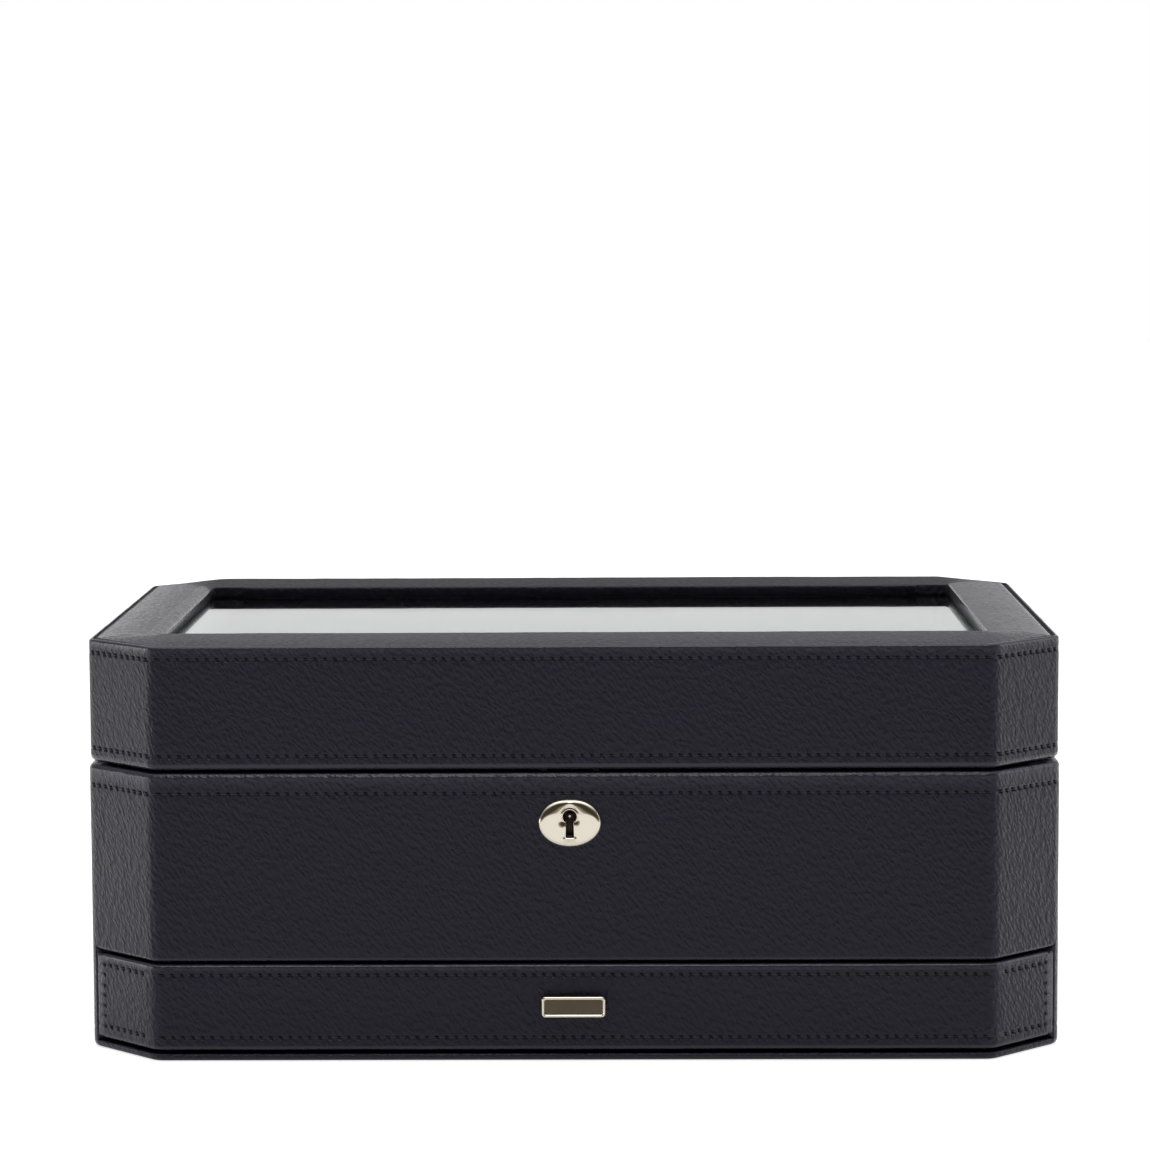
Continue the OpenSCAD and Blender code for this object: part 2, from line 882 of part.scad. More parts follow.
module lock_staples() {
    half_w = lock_w / 2 + rim_plate_over;
    color("gold")
        difference() {
            union() {
                block([lock_x - half_w, lock_front, lid_z], [lock_x + half_w, lock_back, lid_wall_z]);
                for (side = [-1, 1])
                    translate([lock_x + side * staple_pitch / 2, cell_y, 0])
                        difference() {
                            block([-staple_w / 2, -staple_d / 2, staple_z], [staple_w / 2, staple_d / 2, lid_z + eps]);
                            block([-staple_w, staple_leg - staple_d / 2, staple_z + staple_foot],
                                  [staple_w, staple_d / 2 - staple_leg, staple_z + staple_foot + eye_h]);
                        }
            }
            staple_screw_places() screw_form(screw_l, screw_gap);
        }
}

module staple_screws() {
    color("gold")
        staple_screw_places() screw(screw_l);
}

base_felt();
base_board();
case_side(left_wall);  // case_side_left
case_side(right_wall);  // case_side_right
case_back();
case_front();
case_corner_boards();
case_leather();
deck_board();
tray_liner();
long_divider();
for (i = [1:places - 1])
    cross_divider(i);
for (i = [1:2 * places])
    watch_cushion(i);
drawer_runners();
lock_body();
lock_bolt();
lock_plate();
lock_screws();
hinge_leaf(-hinge_x, rim_h, 0);  // hinge_left_case_leaf
hinge_leaf(hinge_x, rim_h, 0);  // hinge_right_case_leaf
hinge_pins();
hinge_case_screws();
lid_front();
lid_back();
lid_side(left_wall);  // lid_side_left
lid_side(right_wall);  // lid_side_right
lid_corner_boards();
lid_top_board();
lid_side_leather();
lid_top_leather();
lid_glass();
glass_retainer();
lid_lining();
hinge_leaf(-hinge_x, lid_z - leaf_t, 1);  // hinge_left_lid_leaf
hinge_leaf(hinge_x, lid_z - leaf_t, 1);  // hinge_right_lid_leaf
hinge_lid_screws();
lock_staples();
staple_screws();
drawer_front();
drawer_leather();
drawer_side(-1);  // drawer_side_left
drawer_side(1);  // drawer_side_right
drawer_back();
drawer_base();
drawer_pad();
drawer_dividers();
drawer_pull();
pull_screws();
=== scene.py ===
import json
import math
from collections import namedtuple

import bmesh
import bpy
from mathutils import Matrix, Vector, noise


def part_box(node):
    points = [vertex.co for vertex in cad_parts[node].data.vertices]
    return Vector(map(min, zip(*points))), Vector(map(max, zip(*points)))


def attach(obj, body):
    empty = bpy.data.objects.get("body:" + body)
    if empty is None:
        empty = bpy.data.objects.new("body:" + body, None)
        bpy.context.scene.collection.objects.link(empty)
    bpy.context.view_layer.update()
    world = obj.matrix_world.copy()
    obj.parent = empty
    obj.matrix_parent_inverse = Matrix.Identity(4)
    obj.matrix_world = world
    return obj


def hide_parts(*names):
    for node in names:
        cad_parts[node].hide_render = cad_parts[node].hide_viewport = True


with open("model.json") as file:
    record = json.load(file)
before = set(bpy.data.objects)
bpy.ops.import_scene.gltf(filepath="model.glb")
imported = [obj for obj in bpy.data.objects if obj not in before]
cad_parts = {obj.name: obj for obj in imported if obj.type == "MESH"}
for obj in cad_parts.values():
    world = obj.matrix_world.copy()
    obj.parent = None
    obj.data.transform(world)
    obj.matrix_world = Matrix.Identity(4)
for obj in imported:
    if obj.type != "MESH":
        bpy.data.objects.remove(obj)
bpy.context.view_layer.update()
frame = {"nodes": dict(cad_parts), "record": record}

scene = bpy.context.scene
MM = 0.001

# ---- camera ----

SENSOR = 36.0
LENS = 119.31
CAMERA_PLACE = Vector((0.0205, -1.4107, 0.2993))
PITCH, YAW, ROLL = math.radians(5.738), math.radians(-0.852), math.radians(-0.3)

forward = Vector((math.sin(YAW) * math.cos(PITCH), math.cos(YAW) * math.cos(PITCH), -math.sin(PITCH)))
level = Vector((math.cos(YAW), -math.sin(YAW), 0))
upright = level.cross(forward)
right = level * math.cos(ROLL) + upright * math.sin(ROLL)
up = upright * math.cos(ROLL) - level * math.sin(ROLL)

camera_data = bpy.data.cameras.new("camera")
camera_data.sensor_width = SENSOR
camera_data.lens = LENS
camera = bpy.data.objects.new("camera", camera_data)
camera.matrix_world = Matrix.Translation(CAMERA_PLACE) @ Matrix((right, up, -forward)).transposed().to_4x4()
scene.collection.objects.link(camera)
scene.camera = camera
scene.view_settings.view_transform = "Standard"

# ---- material helpers ----


def colour(code):
    """An sRGB hex code as a linear colour."""
    channels = [int(code[i:i + 2], 16) / 255 for i in (1, 3, 5)]
    linear = [c / 12.92 if c <= 0.04045 else ((c + 0.055) / 1.055) ** 2.4 for c in channels]
    return (*linear, 1.0)


def add(tree, kind, inputs=None, **settings):
    """Adds a shader node. An input is named by its name or number. It gets a value, or a link from an output
    or from a node's first output in use."""
    node = tree.nodes.new("ShaderNode" + kind)
    for name, value in settings.items():
        setattr(node, name, value)
    for key, value in (inputs or {}).items():
        if isinstance(value, bpy.types.Node):
            value = next(output for output in value.outputs if output.enabled)
        if isinstance(value, bpy.types.NodeSocket):
            tree.links.new(value, node.inputs[key])
        else:
            node.inputs[key].default_value = value
    return node


def new_material(name):
    """An empty material, its node tree and the place on the piece, in metres."""
    material = bpy.data.materials.new(name)
    material.use_nodes = True
    tree = material.node_tree
    tree.nodes.clear()
    return material, tree, add(tree, "TexCoord").outputs["Object"]


def per_mm(size):
    """Texture scale at which one cell of a pattern measures size mm."""
    return 1 / (size * MM)


PEBBLE = 1.25           # mm across a pebble of the leather's grain
CREASE = 1.7            # mm between creases
PORE = 0.5              # mm between pores
PIT_SHADE = "#020104"  # painted shade at the bottom of needle holes and grooves


def leather(name, dark, light, fold_highlight):
    """Calf, plated with a fine pebble grain and pulled in steep wavy creases: near black, softly glossy.
    Folds pulled tight are smoother, and their colour is painted paler, a painted highlight; pits and grooves
    are painted near black, a painted shade. "lay" is the place on the sheet, "hollow" its pits and folds."""
    material, tree, _ = new_material(name)
    lay = add(tree, "Attribute", attribute_name="lay").outputs["Vector"]
    hollow = add(tree, "Attribute", attribute_name="hollow").outputs["Fac"]
    slant = add(tree, "Mapping", {
        0: lay, "Rotation": (0, 0, math.radians(-58)), "Scale": (2.0, 1, 1)}, vector_type="TEXTURE")
    drift = add(tree, "TexNoise", {"Vector": lay, "Scale": per_mm(3.5), "Detail": 2.0})
    bent = add(tree, "Mix", {
        "Factor": 1.6 * MM, 4: slant, 5: drift.outputs["Color"]}, data_type="VECTOR", clamp_factor=False)
    cells = add(tree, "TexVoronoi", {
        "Vector": bent, "Scale": per_mm(PEBBLE), "Smoothness": 0.35}, feature="SMOOTH_F1")
    pebble = add(tree, "MapRange", {0: cells.outputs["Distance"], 1: 0.75, 2: 0.0})
    creases = add(tree, "TexNoise", {"Vector": bent, "Scale": per_mm(CREASE), "Detail": 2.0})
    pores = add(tree, "TexNoise", {"Vector": lay, "Scale": per_mm(PORE), "Detail": 2.0})
    height = add(tree, "Math", {0: pebble, 1: 0.9, 2: creases}, operation="MULTIPLY_ADD")
    height = add(tree, "Math", {0: pores, 1: 0.25, 2: height}, operation="MULTIPLY_ADD")
    relief = add(tree, "MapRange", {0: hollow, 1: -1.0, 2: 0.0, 3: 0.12, 4: 1.0})
    bump = add(tree, "Bump", {"Height": height, "Strength": relief, "Distance": 0.3 * MM})
    blotch = add(tree, "TexNoise", {"Vector": lay, "Scale": per_mm(14), "Detail": 4.0})
    tone = add(tree, "Mix", {"Factor": blotch, 6: colour(dark), 7: colour(light)}, data_type="RGBA")
    # painted highlight: folds pulled smooth are mixed toward a pale colour; painted shade: pits and grooves
    # toward near black
    taut = add(tree, "Math", {0: hollow, 1: -1.0}, operation="MULTIPLY", use_clamp=True)
    pale = add(tree, "Mix", {"Factor": taut, 6: tone, 7: colour(fold_highlight)}, data_type="RGBA")
    shaded = add(tree, "Mix", {"Factor": hollow, 6: pale, 7: colour(PIT_SHADE)}, data_type="RGBA")
    gloss = add(tree, "MapRange", {0: pebble, 3: 0.5, 4: 0.38})
    worn = add(tree, "Math", {0: hollow, 1: 0.3, 2: gloss}, operation="MULTIPLY_ADD")
    shader = add(tree, "BsdfPrincipled", {
        "Base Color": shaded, "Roughness": worn, "Normal": bump, "IOR": 1.41})
    add(tree, "OutputMaterial", {"Surface": shader})
    return material


def spun_thread(name, dark, light):
    """Waxed polyester thread, spun and dyed like the leather."""
    material, tree, place = new_material(name)
    twist = add(tree, "TexNoise", {"Vector": place, "Scale": per_mm(0.3), "Detail": 1.0})
    tone = add(tree, "Mix", {"Factor": twist, 6: colour(dark), 7: colour(light)}, data_type="RGBA")
    bump = add(tree, "Bump", {"Height": twist, "Strength": 0.6, "Distance": 0.08 * MM})
    shader = add(tree, "BsdfPrincipled", {"Base Color": tone, "Normal": bump, "Roughness": 0.5})
    add(tree, "OutputMaterial", {"Surface": shader})
    return material


def suede(name, dark, light, nap=0.35):
    """Brushed suede or felt: matt, with a soft sheen and a cloudy nap."""
    material, tree, place = new_material(name)
    fibres = add(tree, "TexNoise", {
        "Vector": place, "Scale": per_mm(nap), "Detail": 4.0, "Roughness": 0.7})
    brushed = add(tree, "TexNoise", {
        "Vector": place, "Scale": per_mm(11), "Detail": 3.0, "Distortion": 0.6})
    mixed = add(tree, "Math", {0: fibres, 1: 0.5, 2: brushed}, operation="MULTIPLY_ADD")
    share = add(tree, "MapRange", {0: mixed, 1: 0.55, 2: 0.95})
    tone = add(tree, "Mix", {"Factor": share, 6: colour(dark), 7: colour(light)}, data_type="RGBA")
    bump = add(tree, "Bump", {"Height": fibres, "Strength": 0.6, "Distance": 0.12 * MM})
    shader = add(tree, "BsdfPrincipled", {
        "Base Color": tone, "Normal": bump, "Roughness": 0.95, "Sheen Weight": 0.25,
        "Sheen Roughness": 0.4})
    add(tree, "OutputMaterial", {"Surface": shader})
    return material


def metal(name, tint, roughness, scratch):
    """Plated brass, polished on a wheel: hairline scratches and slightly uneven polish."""
    material, tree, place = new_material(name)
    drawn = add(tree, "Mapping", {0: place, "Scale": (1, 1, 14)})
    hair = add(tree, "TexNoise", {"Vector": drawn, "Scale": per_mm(scratch), "Detail": 3.0})
    haze = add(tree, "TexNoise", {"Vector": place, "Scale": per_mm(3), "Detail": 3.0})
    rough = add(tree, "MapRange", {0: haze, 1: 0.3, 2: 0.7, 3: roughness * 0.75, 4: roughness * 1.3})
    bump = add(tree, "Bump", {"Height": hair, "Strength": 0.08, "Distance": 0.02 * MM})
    shader = add(tree, "BsdfPrincipled", {
        "Base Color": colour(tint), "Metallic": 1.0, "Roughness": rough, "Normal": bump})
    add(tree, "OutputMaterial", {"Surface": shader})
    return material


def fibre_board(name, dark, light):
    """Medium density fibreboard, sanded: pale brown, matt, with fine pressed fibres."""
    material, tree, place = new_material(name)
    fibres = add(tree, "TexNoise", {
        "Vector": place, "Scale": per_mm(0.7), "Detail": 5.0, "Roughness": 0.7})
    clouds = add(tree, "TexNoise", {"Vector": place, "Scale": per_mm(18), "Detail": 2.0})
    mixed = add(tree, "Math", {0: fibres, 1: clouds}, operation="MULTIPLY")
    share = add(tree, "MapRange", {0: mixed, 1: 0.12, 2: 0.4})
    tone = add(tree, "Mix", {"Factor": share, 6: colour(dark), 7: colour(light)}, data_type="RGBA")
    bump = add(tree, "Bump", {"Height": fibres, "Strength": 0.3, "Distance": 0.08 * MM})
    shader = add(tree, "BsdfPrincipled", {"Base Color": tone, "Normal": bump, "Roughness": 0.8})
    add(tree, "OutputMaterial", {"Surface": shader})
    return material


def plywood(name, dark, light):
    """Birch plywood, sanded and lacquered thin: long pale grain lines along the board."""
    material, tree, place = new_material(name)
    grain = add(tree, "Mapping", {0: place, "Scale": (0.06, 0.3, 1)})
    bands = add(tree, "TexNoise", {
        "Vector": grain, "Scale": per_mm(1.6), "Detail": 5.0, "Distortion": 0.4})
    share = add(tree, "MapRange", {0: bands, 1: 0.35, 2: 0.65})
    tone = add(tree, "Mix", {"Factor": share, 6: colour(dark), 7: colour(light)}, data_type="RGBA")
    bump = add(tree, "Bump", {"Height": bands, "Strength": 0.25, "Distance": 0.08 * MM})
    shader = add(tree, "BsdfPrincipled", {"Base Color": tone, "Normal": bump, "Roughness": 0.55})
    add(tree, "OutputMaterial", {"Surface": shader})
    return material


def clear_glass(name):
    """Float glass, polished: clear, with a faint green cast and a trace of wiping marks."""
    material, tree, place = new_material(name)
    wiped = add(tree, "TexNoise", {"Vector": place, "Scale": per_mm(30), "Detail": 3.0})
    rough = add(tree, "MapRange", {0: wiped, 1: 0.4, 2: 0.7, 3: 0.0, 4: 0.03})
    shader = add(tree, "BsdfPrincipled", {
        "Base Color": colour("#f4faf7"), "Roughness": rough, "IOR": 1.5, "Transmission Weight": 1.0})
    add(tree, "OutputMaterial", {"Surface": shader})
    return material


# the last colour is the folds' painted highlight
LEATHER = leather("calf_leather_navy_black", "#090519", "#0c0822", "#34323e")
THREAD = spun_thread("polyester_thread_spun", "#0b0914", "#100d1a")
SUEDE = suede("microfibre_suede_charcoal", "#2c2c31", "#3b3b41")
CUSHION_SUEDE = suede("microfibre_suede_grey", "#5f5f66", "#77777e")
FELT = suede("wool_felt_black", "#151517", "#222225", 0.9)
NICKEL = metal("nickel_plated_brass_polished", "#e6dece", 0.09, 0.6)
# its dark tint is painted shade, which keeps the staples and the lock's rim plate dark in the shadow gap
# under the lid
BRASS = metal("brass_rolled_darkened_as_shade", "#2c2622", 0.35, 0.4)
FIBRE_BOARD = fibre_board("fibreboard_sanded", "#8b6f50", "#a98c68")
PLYWOOD = plywood("birch_plywood_lacquered", "#a98a60", "#c9ad82")
GLASS = clear_glass("float_glass")

# ---- mesh helpers ----


def new_object(name, data):
    """An object of the scene."""
    thing = bpy.data.objects.new(name, data)
    scene.collection.objects.link(thing)
    return thing


def new_piece(name, verts, faces, material, body, nodes=(), attributes=None):
    """A piece from points in mm, riding on a CAD body in place of the CAD nodes that it stands for."""
    mesh = bpy.data.meshes.new(name)
    mesh.from_pydata([Vector(v) * MM for v in verts], [], faces)
    for key, values in (attributes or {}).items():
        if isinstance(values[0], float):
            mesh.attributes.new(key, "FLOAT", "POINT").data.foreach_set("value", values)
        else:
            flat = [c for value in values for c in value]
            mesh.attributes.new(key, "FLOAT_VECTOR", "POINT").data.foreach_set("vector", flat)
    mesh.shade_smooth()
    mesh.materials.append(material)
    piece = new_object(name, mesh)
    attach(piece, body)
    if nodes:
        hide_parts(*nodes)
    return piece


def thicken(piece, thickness):
    """Gives a sheet its thickness on the inner side."""
    solid = piece.modifiers.new("thickness", "SOLIDIFY")
    solid.thickness = thickness * MM
    solid.offset = -1


MERGE = 0.04            # mm between points that belong together


def weld(piece):
    """Joins points that lie together, such as those on the edges of neighbouring patches."""
    joined = piece.modifiers.new("joined", "WELD")
    joined.merge_threshold = MERGE * MM


def box_of(node):
    """Lowest and highest corner of a CAD node, in mm."""
    return [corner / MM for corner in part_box(node)]


def ring_faces(rings, around, start=0, ends="capped", clockwise=False):
    """Faces of a tube of rings with as many points each, whose ends are "capped", "open" or "joined".
    They look outward. Seen from the next one, a ring runs anticlockwise, or clockwise if it is said."""
    faces = []
    for r in range(rings if ends == "joined" else rings - 1):
        onward = ((r + 1) % rings - r) * around
        for step in range(around):
            a, b = start + r * around + step, start + r * around + (step + 1) % around
            faces.append((a, a + onward, b + onward, b) if clockwise else (a, b, b + onward, a + onward))
    if ends == "capped":
        first = list(range(start, start + around))
        last = [vertex + (rings - 1) * around for vertex in first]
        faces += [first, last[::-1]] if clockwise else [first[::-1], last]
    return faces


# ---- plan of the box ----

_, case_high = box_of("case_leather")
lid_low, lid_high = box_of("lid_side_leather")
drawer_low, drawer_high = box_of("drawer_leather")
HALF_W, HALF_D = case_high.x, case_high.y
CUT = 25.0              # width and depth of each cut corner
WALL = 9.2              # leather and board together
EIGHTH = math.radians(45)
CORNER_R = 7.0          # rounding of the upright corners
LEAST_R = 0.25          # and the least that is left of it further in
CORNER_STEPS = 6        # parts that a rounding is divided into
TANGENT = math.tan(EIGHTH / 2)      # length of a rounding's tangent to its radius
STITCH = 3.4            # from needle hole to needle hole
NEEDLE = 0.6            # half width of a needle hole's bottom
HOLE_EDGE = 0.85        # and of its rim
LINE_EDGE = 1.0         # and of the rims across an upright stitch line
PIT = 0.68              # depth of a needle hole
SIDES = range(8)        # right, back right, back, back left, left, front left, front, front right

# Across a sheet: the side of the box, the place along it from its middle, the share of the rounding before it
# (None on the straight), and whether needle holes or an upright stitch line run here.
Stop = namedtuple("Stop", "side s turn hole line", defaults=(0.0, None, False, False))
# Down a sheet: how far inside the outline, the height, the rise of the surface, whether a stitch line or the
# holes of upright ones run here, and the painted light: below zero the leather is pulled smooth and painted
# paler as a highlight, above zero it is painted darker as shade.
Row = namedtuple("Row", "inset z press line hole taut", defaults=(0.0, False, False, 0.0))


def corners(inset):
    """The eight corners of the outline drawn in by inset, from the right side's front end round."""
    w, d, c = HALF_W - inset, HALF_D - inset, CUT - inset * (2 - math.sqrt(2))
    return [Vector(p) for p in ((w, c - d), (w, d - c), (w - c, d), (c - w, d),
                                (-w, d - c), (-w, c - d), (c - w, -d), (w - c, -d))]


def turned(v, angle):
    """A plan vector turned to the left by angle."""
    c, s = math.cos(angle), math.sin(angle)
    return Vector((v.x * c - v.y * s, v.x * s + v.y * c))


def side_reach(side):
    """Half the straight length of a side, between its rounded corners."""
    p = corners(0)
    return (p[(side + 1) % 8] - p[side]).length / 2 - CORNER_R * TANGENT


def plan(stops, inset, back_edge=None):
    """Points and outward normals on the outline drawn in by inset. Where back_edge is given, the cut
    corners at the front end at that depth."""
    bend = max(CORNER_R - inset, LEAST_R)
    at, whole = corners(inset), corners(0)
    places = []
    for stop in stops:
        i, j = stop.side, (stop.side + 1) % 8
        a, b = at[i], at[j]
        along = (b - a).normalized()
        normal = Vector((along.y, -along.x))
        if stop.turn is not None:
            centre = a - turned(normal, -EIGHTH / 2) * bend / math.cos(EIGHTH / 2)
            facing = turned(normal, -EIGHTH * (1 - stop.turn))
            places.append((centre + facing * bend, facing))
            continue
        place = (a + b) / 2 + along * stop.s * ((b - a).length / 2 - bend * TANGENT) / side_reach(i)
        if back_edge is not None and i in (5, 7):
            sign = 1 if i == 5 else -1
            front_now = (b if i == 5 else a) - along * sign * bend * TANGENT
            front_was = (whole[j] if i == 5 else whole[i]) - along * sign * CORNER_R * TANGENT
            was = (whole[i] + whole[j]) / 2 + along * stop.s
            share = (was.y - front_was.y) / (back_edge - front_was.y)
            place = front_now - along * sign * (back_edge - front_now.y) * math.sqrt(2) * share
        places.append((place, normal))
    return places


def side_stops(side, extra=(), lines=(), low=None, high=None):
    """Stops along one side: a needle hole every pitch with its rims, and extra ones."""
    reach = side_reach(side)
    low, high = (-reach if low is None else low), (reach if high is None else high)
    count = max(1, round((high - low) / STITCH))
    pitch = (high - low) / count
    stops = {}
    for k in range(count + 1):
        s = low + k * pitch
        stops[round(s, 3)] = Stop(side, s, hole=True)
        for step in (-HOLE_EDGE, -NEEDLE, NEEDLE, HOLE_EDGE):
            if low < s + step < high:
                stops[round(s + step, 3)] = Stop(side, s + step)
    for s in extra:
        stops[round(s, 3)] = Stop(side, s)
    for line in lines:
        for step in (-LINE_EDGE, -NEEDLE, NEEDLE, LINE_EDGE):
            stops[round(line + step, 3)] = Stop(side, line + step)
        stops[round(line, 3)] = Stop(side, line, line=True)
    return [stops[key] for key in sorted(stops)]


def corner_stops(side):
    """Stops round the upright corner before a side."""
    return [Stop(side, turn=turn / CORNER_STEPS) for turn in range(1, CORNER_STEPS)]


# ---- leather sheets ----

TAUT_HIGHLIGHT = -0.8             # how far a fold's grain is pulled smooth and its colour painted paler, a painted highlight, as the leather's "hollow"
SHADED = 0.9            # the same for the bare floor of a groove, painted dark as painted shade
LEATHER_T = 1.0         # thickness of the side leather


def bend_rows(inset, z, radius, start, end, steps=4):
    """Rows round a fold about (inset, z), whose leather is pulled smooth and given a painted highlight. Angle
    0 faces up and 90 outward.
    """
    rows = []
    for k in range(steps + 1):
        angle = math.radians(start + (end - start) * k / steps)
        place = inset - radius * math.sin(angle), z + radius * math.cos(angle)
        rows.append(Row(*place, taut=TAUT_HIGHLIGHT))
    return rows


# The dip of a stitch line, from its middle outward: distance and rise.
FURROW = ((0.0, -0.05), (NEEDLE, -0.04), (HOLE_EDGE, -0.02), (1.3, 0.0))
CLEAR_OF_LINE = 1.6


def wall_rows(top, bottom, lines=(), step=4.0):
    """Rows down a wall. Each stitch line lies in a shallow furrow."""
    heights = {round(top, 3): (0.0, False), round(bottom, 3): (0.0, False)}
    count = max(1, round((top - bottom) / step))
    for k in range(1, count):
        z = top - (top - bottom) * k / count
        if all(abs(z - line) > CLEAR_OF_LINE for line in lines):
            heights[round(z, 3)] = (0.0, False)
    for line in lines:
        for distance, press in FURROW:
            for z in (line - distance, line + distance):
                heights[round(z, 3)] = (press, distance == 0)
    rows = [Row(0.0, z, press, line) for z, (press, line) in heights.items() if bottom <= z <= top]
    return sorted(rows, key=lambda row: -row.z)


def facings(rows):
    """The outward and upward share of each row's normal, from its neighbours."""
    spots = [Vector((-row.inset, row.z)) for row in rows]
    result = []
    for k in range(len(rows)):
        along = (spots[min(k + 1, len(rows) - 1)] - spots[max(k - 1, 0)]).normalized()
        result.append((-along.y, along.x))
    return result


RIPPLES = ((0.09, 24), (0.035, 6))      # height and breadth of the leather's waves


def ripple(p):
    """Slow unevenness of leather glued over board, in mm."""
    return sum(height * noise.noise(p / breadth) for height, breadth in RIPPLES)


# Awl holes along and across a seam: rows down, stops along, share of the full depth.
SLIT = ((0, 0, 1.0), (-1, -1, 0.9), (1, 1, 0.9), (0, -1, 0.8), (0, 1, 0.8), (-1, 0, 0.7), (1, 0, 0.7))
SLOT = ((0, 0, 1.0), (-1, 0, 0.9), (1, 0, 0.9), (0, -1, 0.8), (0, 1, 0.8))
FLAT_BELOW = 3.0        # the leather lies flat at the foot of the box


def needle_pits(stops, rows):
    """How deep the needle holes press in each point of a sheet, as a share of a whole hole."""
    width = len(stops)
    sunk = [0.0] * (width * len(rows))
    for r, row in enumerate(rows):
        for c, stop in enumerate(stops):
            across = row.line and stop.hole
            if not across and not (stop.line and row.hole):
                continue
            for down, on, share in SLIT if across else SLOT:
                if 0 <= r + down < len(rows) and 0 <= c + on < width:
                    at = (r + down) * width + c + on
                    sunk[at] = max(sunk[at], share)
    return sunk


class Sheets:
    """Patches of leather that become one piece, with the stitches that run over them."""

    def __init__(self):
        self.verts, self.faces, self.lay, self.hollow = [], [], [], []
        self.threads = []

    def patch(self, stops, rows, places, skip=lambda p: False, stitched=True, stretched=lambda stop: False):
        """Adds a patch. places(inset) gives the point and outward normal of each stop, skip says where the
        leather is cut away and stretched which stops are drawn tight round an end and given a painted
        highlight."""
        start, width = len(self.verts), len(stops)
        rest, normals = [], []
        girth = [GIRTH.get(stops[0], 0.0)]
        for (last, _), (place, _) in zip(places(0), places(0)[1:]):
            girth.append(girth[-1] + (place - last).length)
        middle_z = (rows[0].z + rows[-1].z) / 2
        for row, (out, rise) in zip(rows, facings(rows)):
            depth = row.z + (row.inset if row.z > middle_z else -row.inset)
            for (place, normal), along in zip(places(row.inset), girth):
                facing = Vector((normal.x * out, normal.y * out, rise))
                spot = Vector((place.x, place.y, row.z))
                spot += facing * (row.press + (ripple(spot) if row.z > FLAT_BELOW else 0))
                rest.append(spot)
                normals.append(facing)
                self.lay.append((along * MM, depth * MM, 0.0))
        sunk = needle_pits(stops, rows) if stitched else [0.0] * len(rest)
        self.hollow += [share or (TAUT_HIGHLIGHT if stretched(stops[k % width]) else rows[k // width].taut)
                        for k, share in enumerate(sunk)]
        self.verts += [spot - facing * PIT * share for spot, facing, share in zip(rest, normals, sunk)]
        for r in range(len(rows) - 1):
            for c in range(width - 1):
                a = r * width + c
                quad = (a, a + width, a + width + 1, a + 1)
                if not skip(sum((rest[v] for v in quad), Vector()) / 4):
                    self.faces.append([start + v for v in quad])
        if stitched:
            self.sew(stops, rows, rest, normals, skip)

    def sew(self, stops, rows, rest, normals, skip):
        """Notes the way of each stitch, from hole to hole along and across a sheet."""
        width = len(stops)
        holes = [c for c, stop in enumerate(stops) if stop.hole]
        seams = [(holes, r * width, 1) for r, row in enumerate(rows) if row.line]
        holes = [r for r, row in enumerate(rows) if row.hole]
        seams += [(holes, c, width) for c, stop in enumerate(stops) if stop.line]
        for holes, first, stride in seams:
            for a, b in zip(holes, holes[1:]):
                run = [first + stride * k for k in range(a, b + 1)]
                path = [rest[v] for v in run]
                if not skip(sum(path, Vector()) / len(path)):
                    self.threads.append((path, [normals[v] for v in run]))

    def piece(self, name, body, nodes):
        """The patches as one skin of leather."""
        piece = new_piece(name, self.verts, self.faces, LEATHER, body, nodes,
                          {"lay": self.lay, "hollow": self.hollow})
        weld(piece)
        thicken(piece, LEATHER_T)

    def stitching(self, name, body):
        """Each stitch is a short strand that dives into its two needle holes."""
        verts, faces = [], []
        for path, ups in self.threads:
            strand(path, ups, verts, faces)
        new_piece(name, verts, faces, THREAD, body)


THREAD_W, THREAD_T = 0.2, 0.1       # half width and half thickness of the thread
SUNK = 0.62                         # how deep a stitch's ends lie in the needle holes
LOW, ARCH = 0.09, 0.03              # how deep its middle is drawn in, and how far it rises between


def strand(path, ups, verts, faces, around=6):
    """Adds a closed strand along path, level with the leather in the middle and sunk at its ends."""
    start, count = len(verts), len(path)
    for k, (place, facing) in enumerate(zip(path, ups)):
        at_end = k in (0, count - 1)
        lift = -SUNK if at_end else ARCH * math.sin(math.pi * k / (count - 1)) - LOW
        along = (path[min(k + 1, count - 1)] - path[max(k - 1, 0)]).normalized()
        side = along.cross(facing).normalized()
        size = 0.7 if at_end else 1.0
        for step in range(around):
            angle = 2 * math.pi * step / around
            rise = lift + THREAD_T * size * math.sin(angle)
            verts.append(place + facing * rise + side * THREAD_W * size * math.cos(angle))
    faces += ring_faces(count, around, start, ends="open", clockwise=True)
    faces.append([start + step for step in reversed(range(around))])
    faces.append([start + (count - 1) * around + step for step in range(around)])


# ---- case leather ----

STILE = 1.6                         # part of the cut corner that stays with the case beside the drawer
STILE_Y = CUT - STILE - HALF_D      # front edge of the case there
BAY_X = 160.8                       # half width of the drawer's bay
PANEL_Z = 35.1                      # lower edge of the front panel
SPLIT_Z = 40.0                      # above it one sheet runs all round
BASE_Z = 0.15                       # underside of the leather
SHELF_Z = 2.6                       # top of the strip under the drawer
CASE_LINE, FOOT_LINE = 93.6, 7.0    # heights of the stitch lines
LOCK_X = -1.0
LOCK_SPAN = 26.1                    # half length of the lock's rim plate
LOCK_BACK = 3.0                     # and how far it lies behind the front
KEY_SPAN = 4.0                      # half width of the opening behind the lock plate
KEY_OPENING = (77.5, 89.5)          # its lower and upper end
KEY_Z = 85.8                        # height of the key's axis
BUTT = 0.08                         # half the gap where the leather's ends meet at the back

stile_s = side_reach(5) + CORNER_R * TANGENT - STILE * math.sqrt(2)
lock_cuts = [LOCK_X - LOCK_SPAN, LOCK_X + LOCK_SPAN, LOCK_X - KEY_SPAN, LOCK_X + KEY_SPAN]
extra_stops = {5: [-stile_s], 6: lock_cuts, 7: [stile_s]}

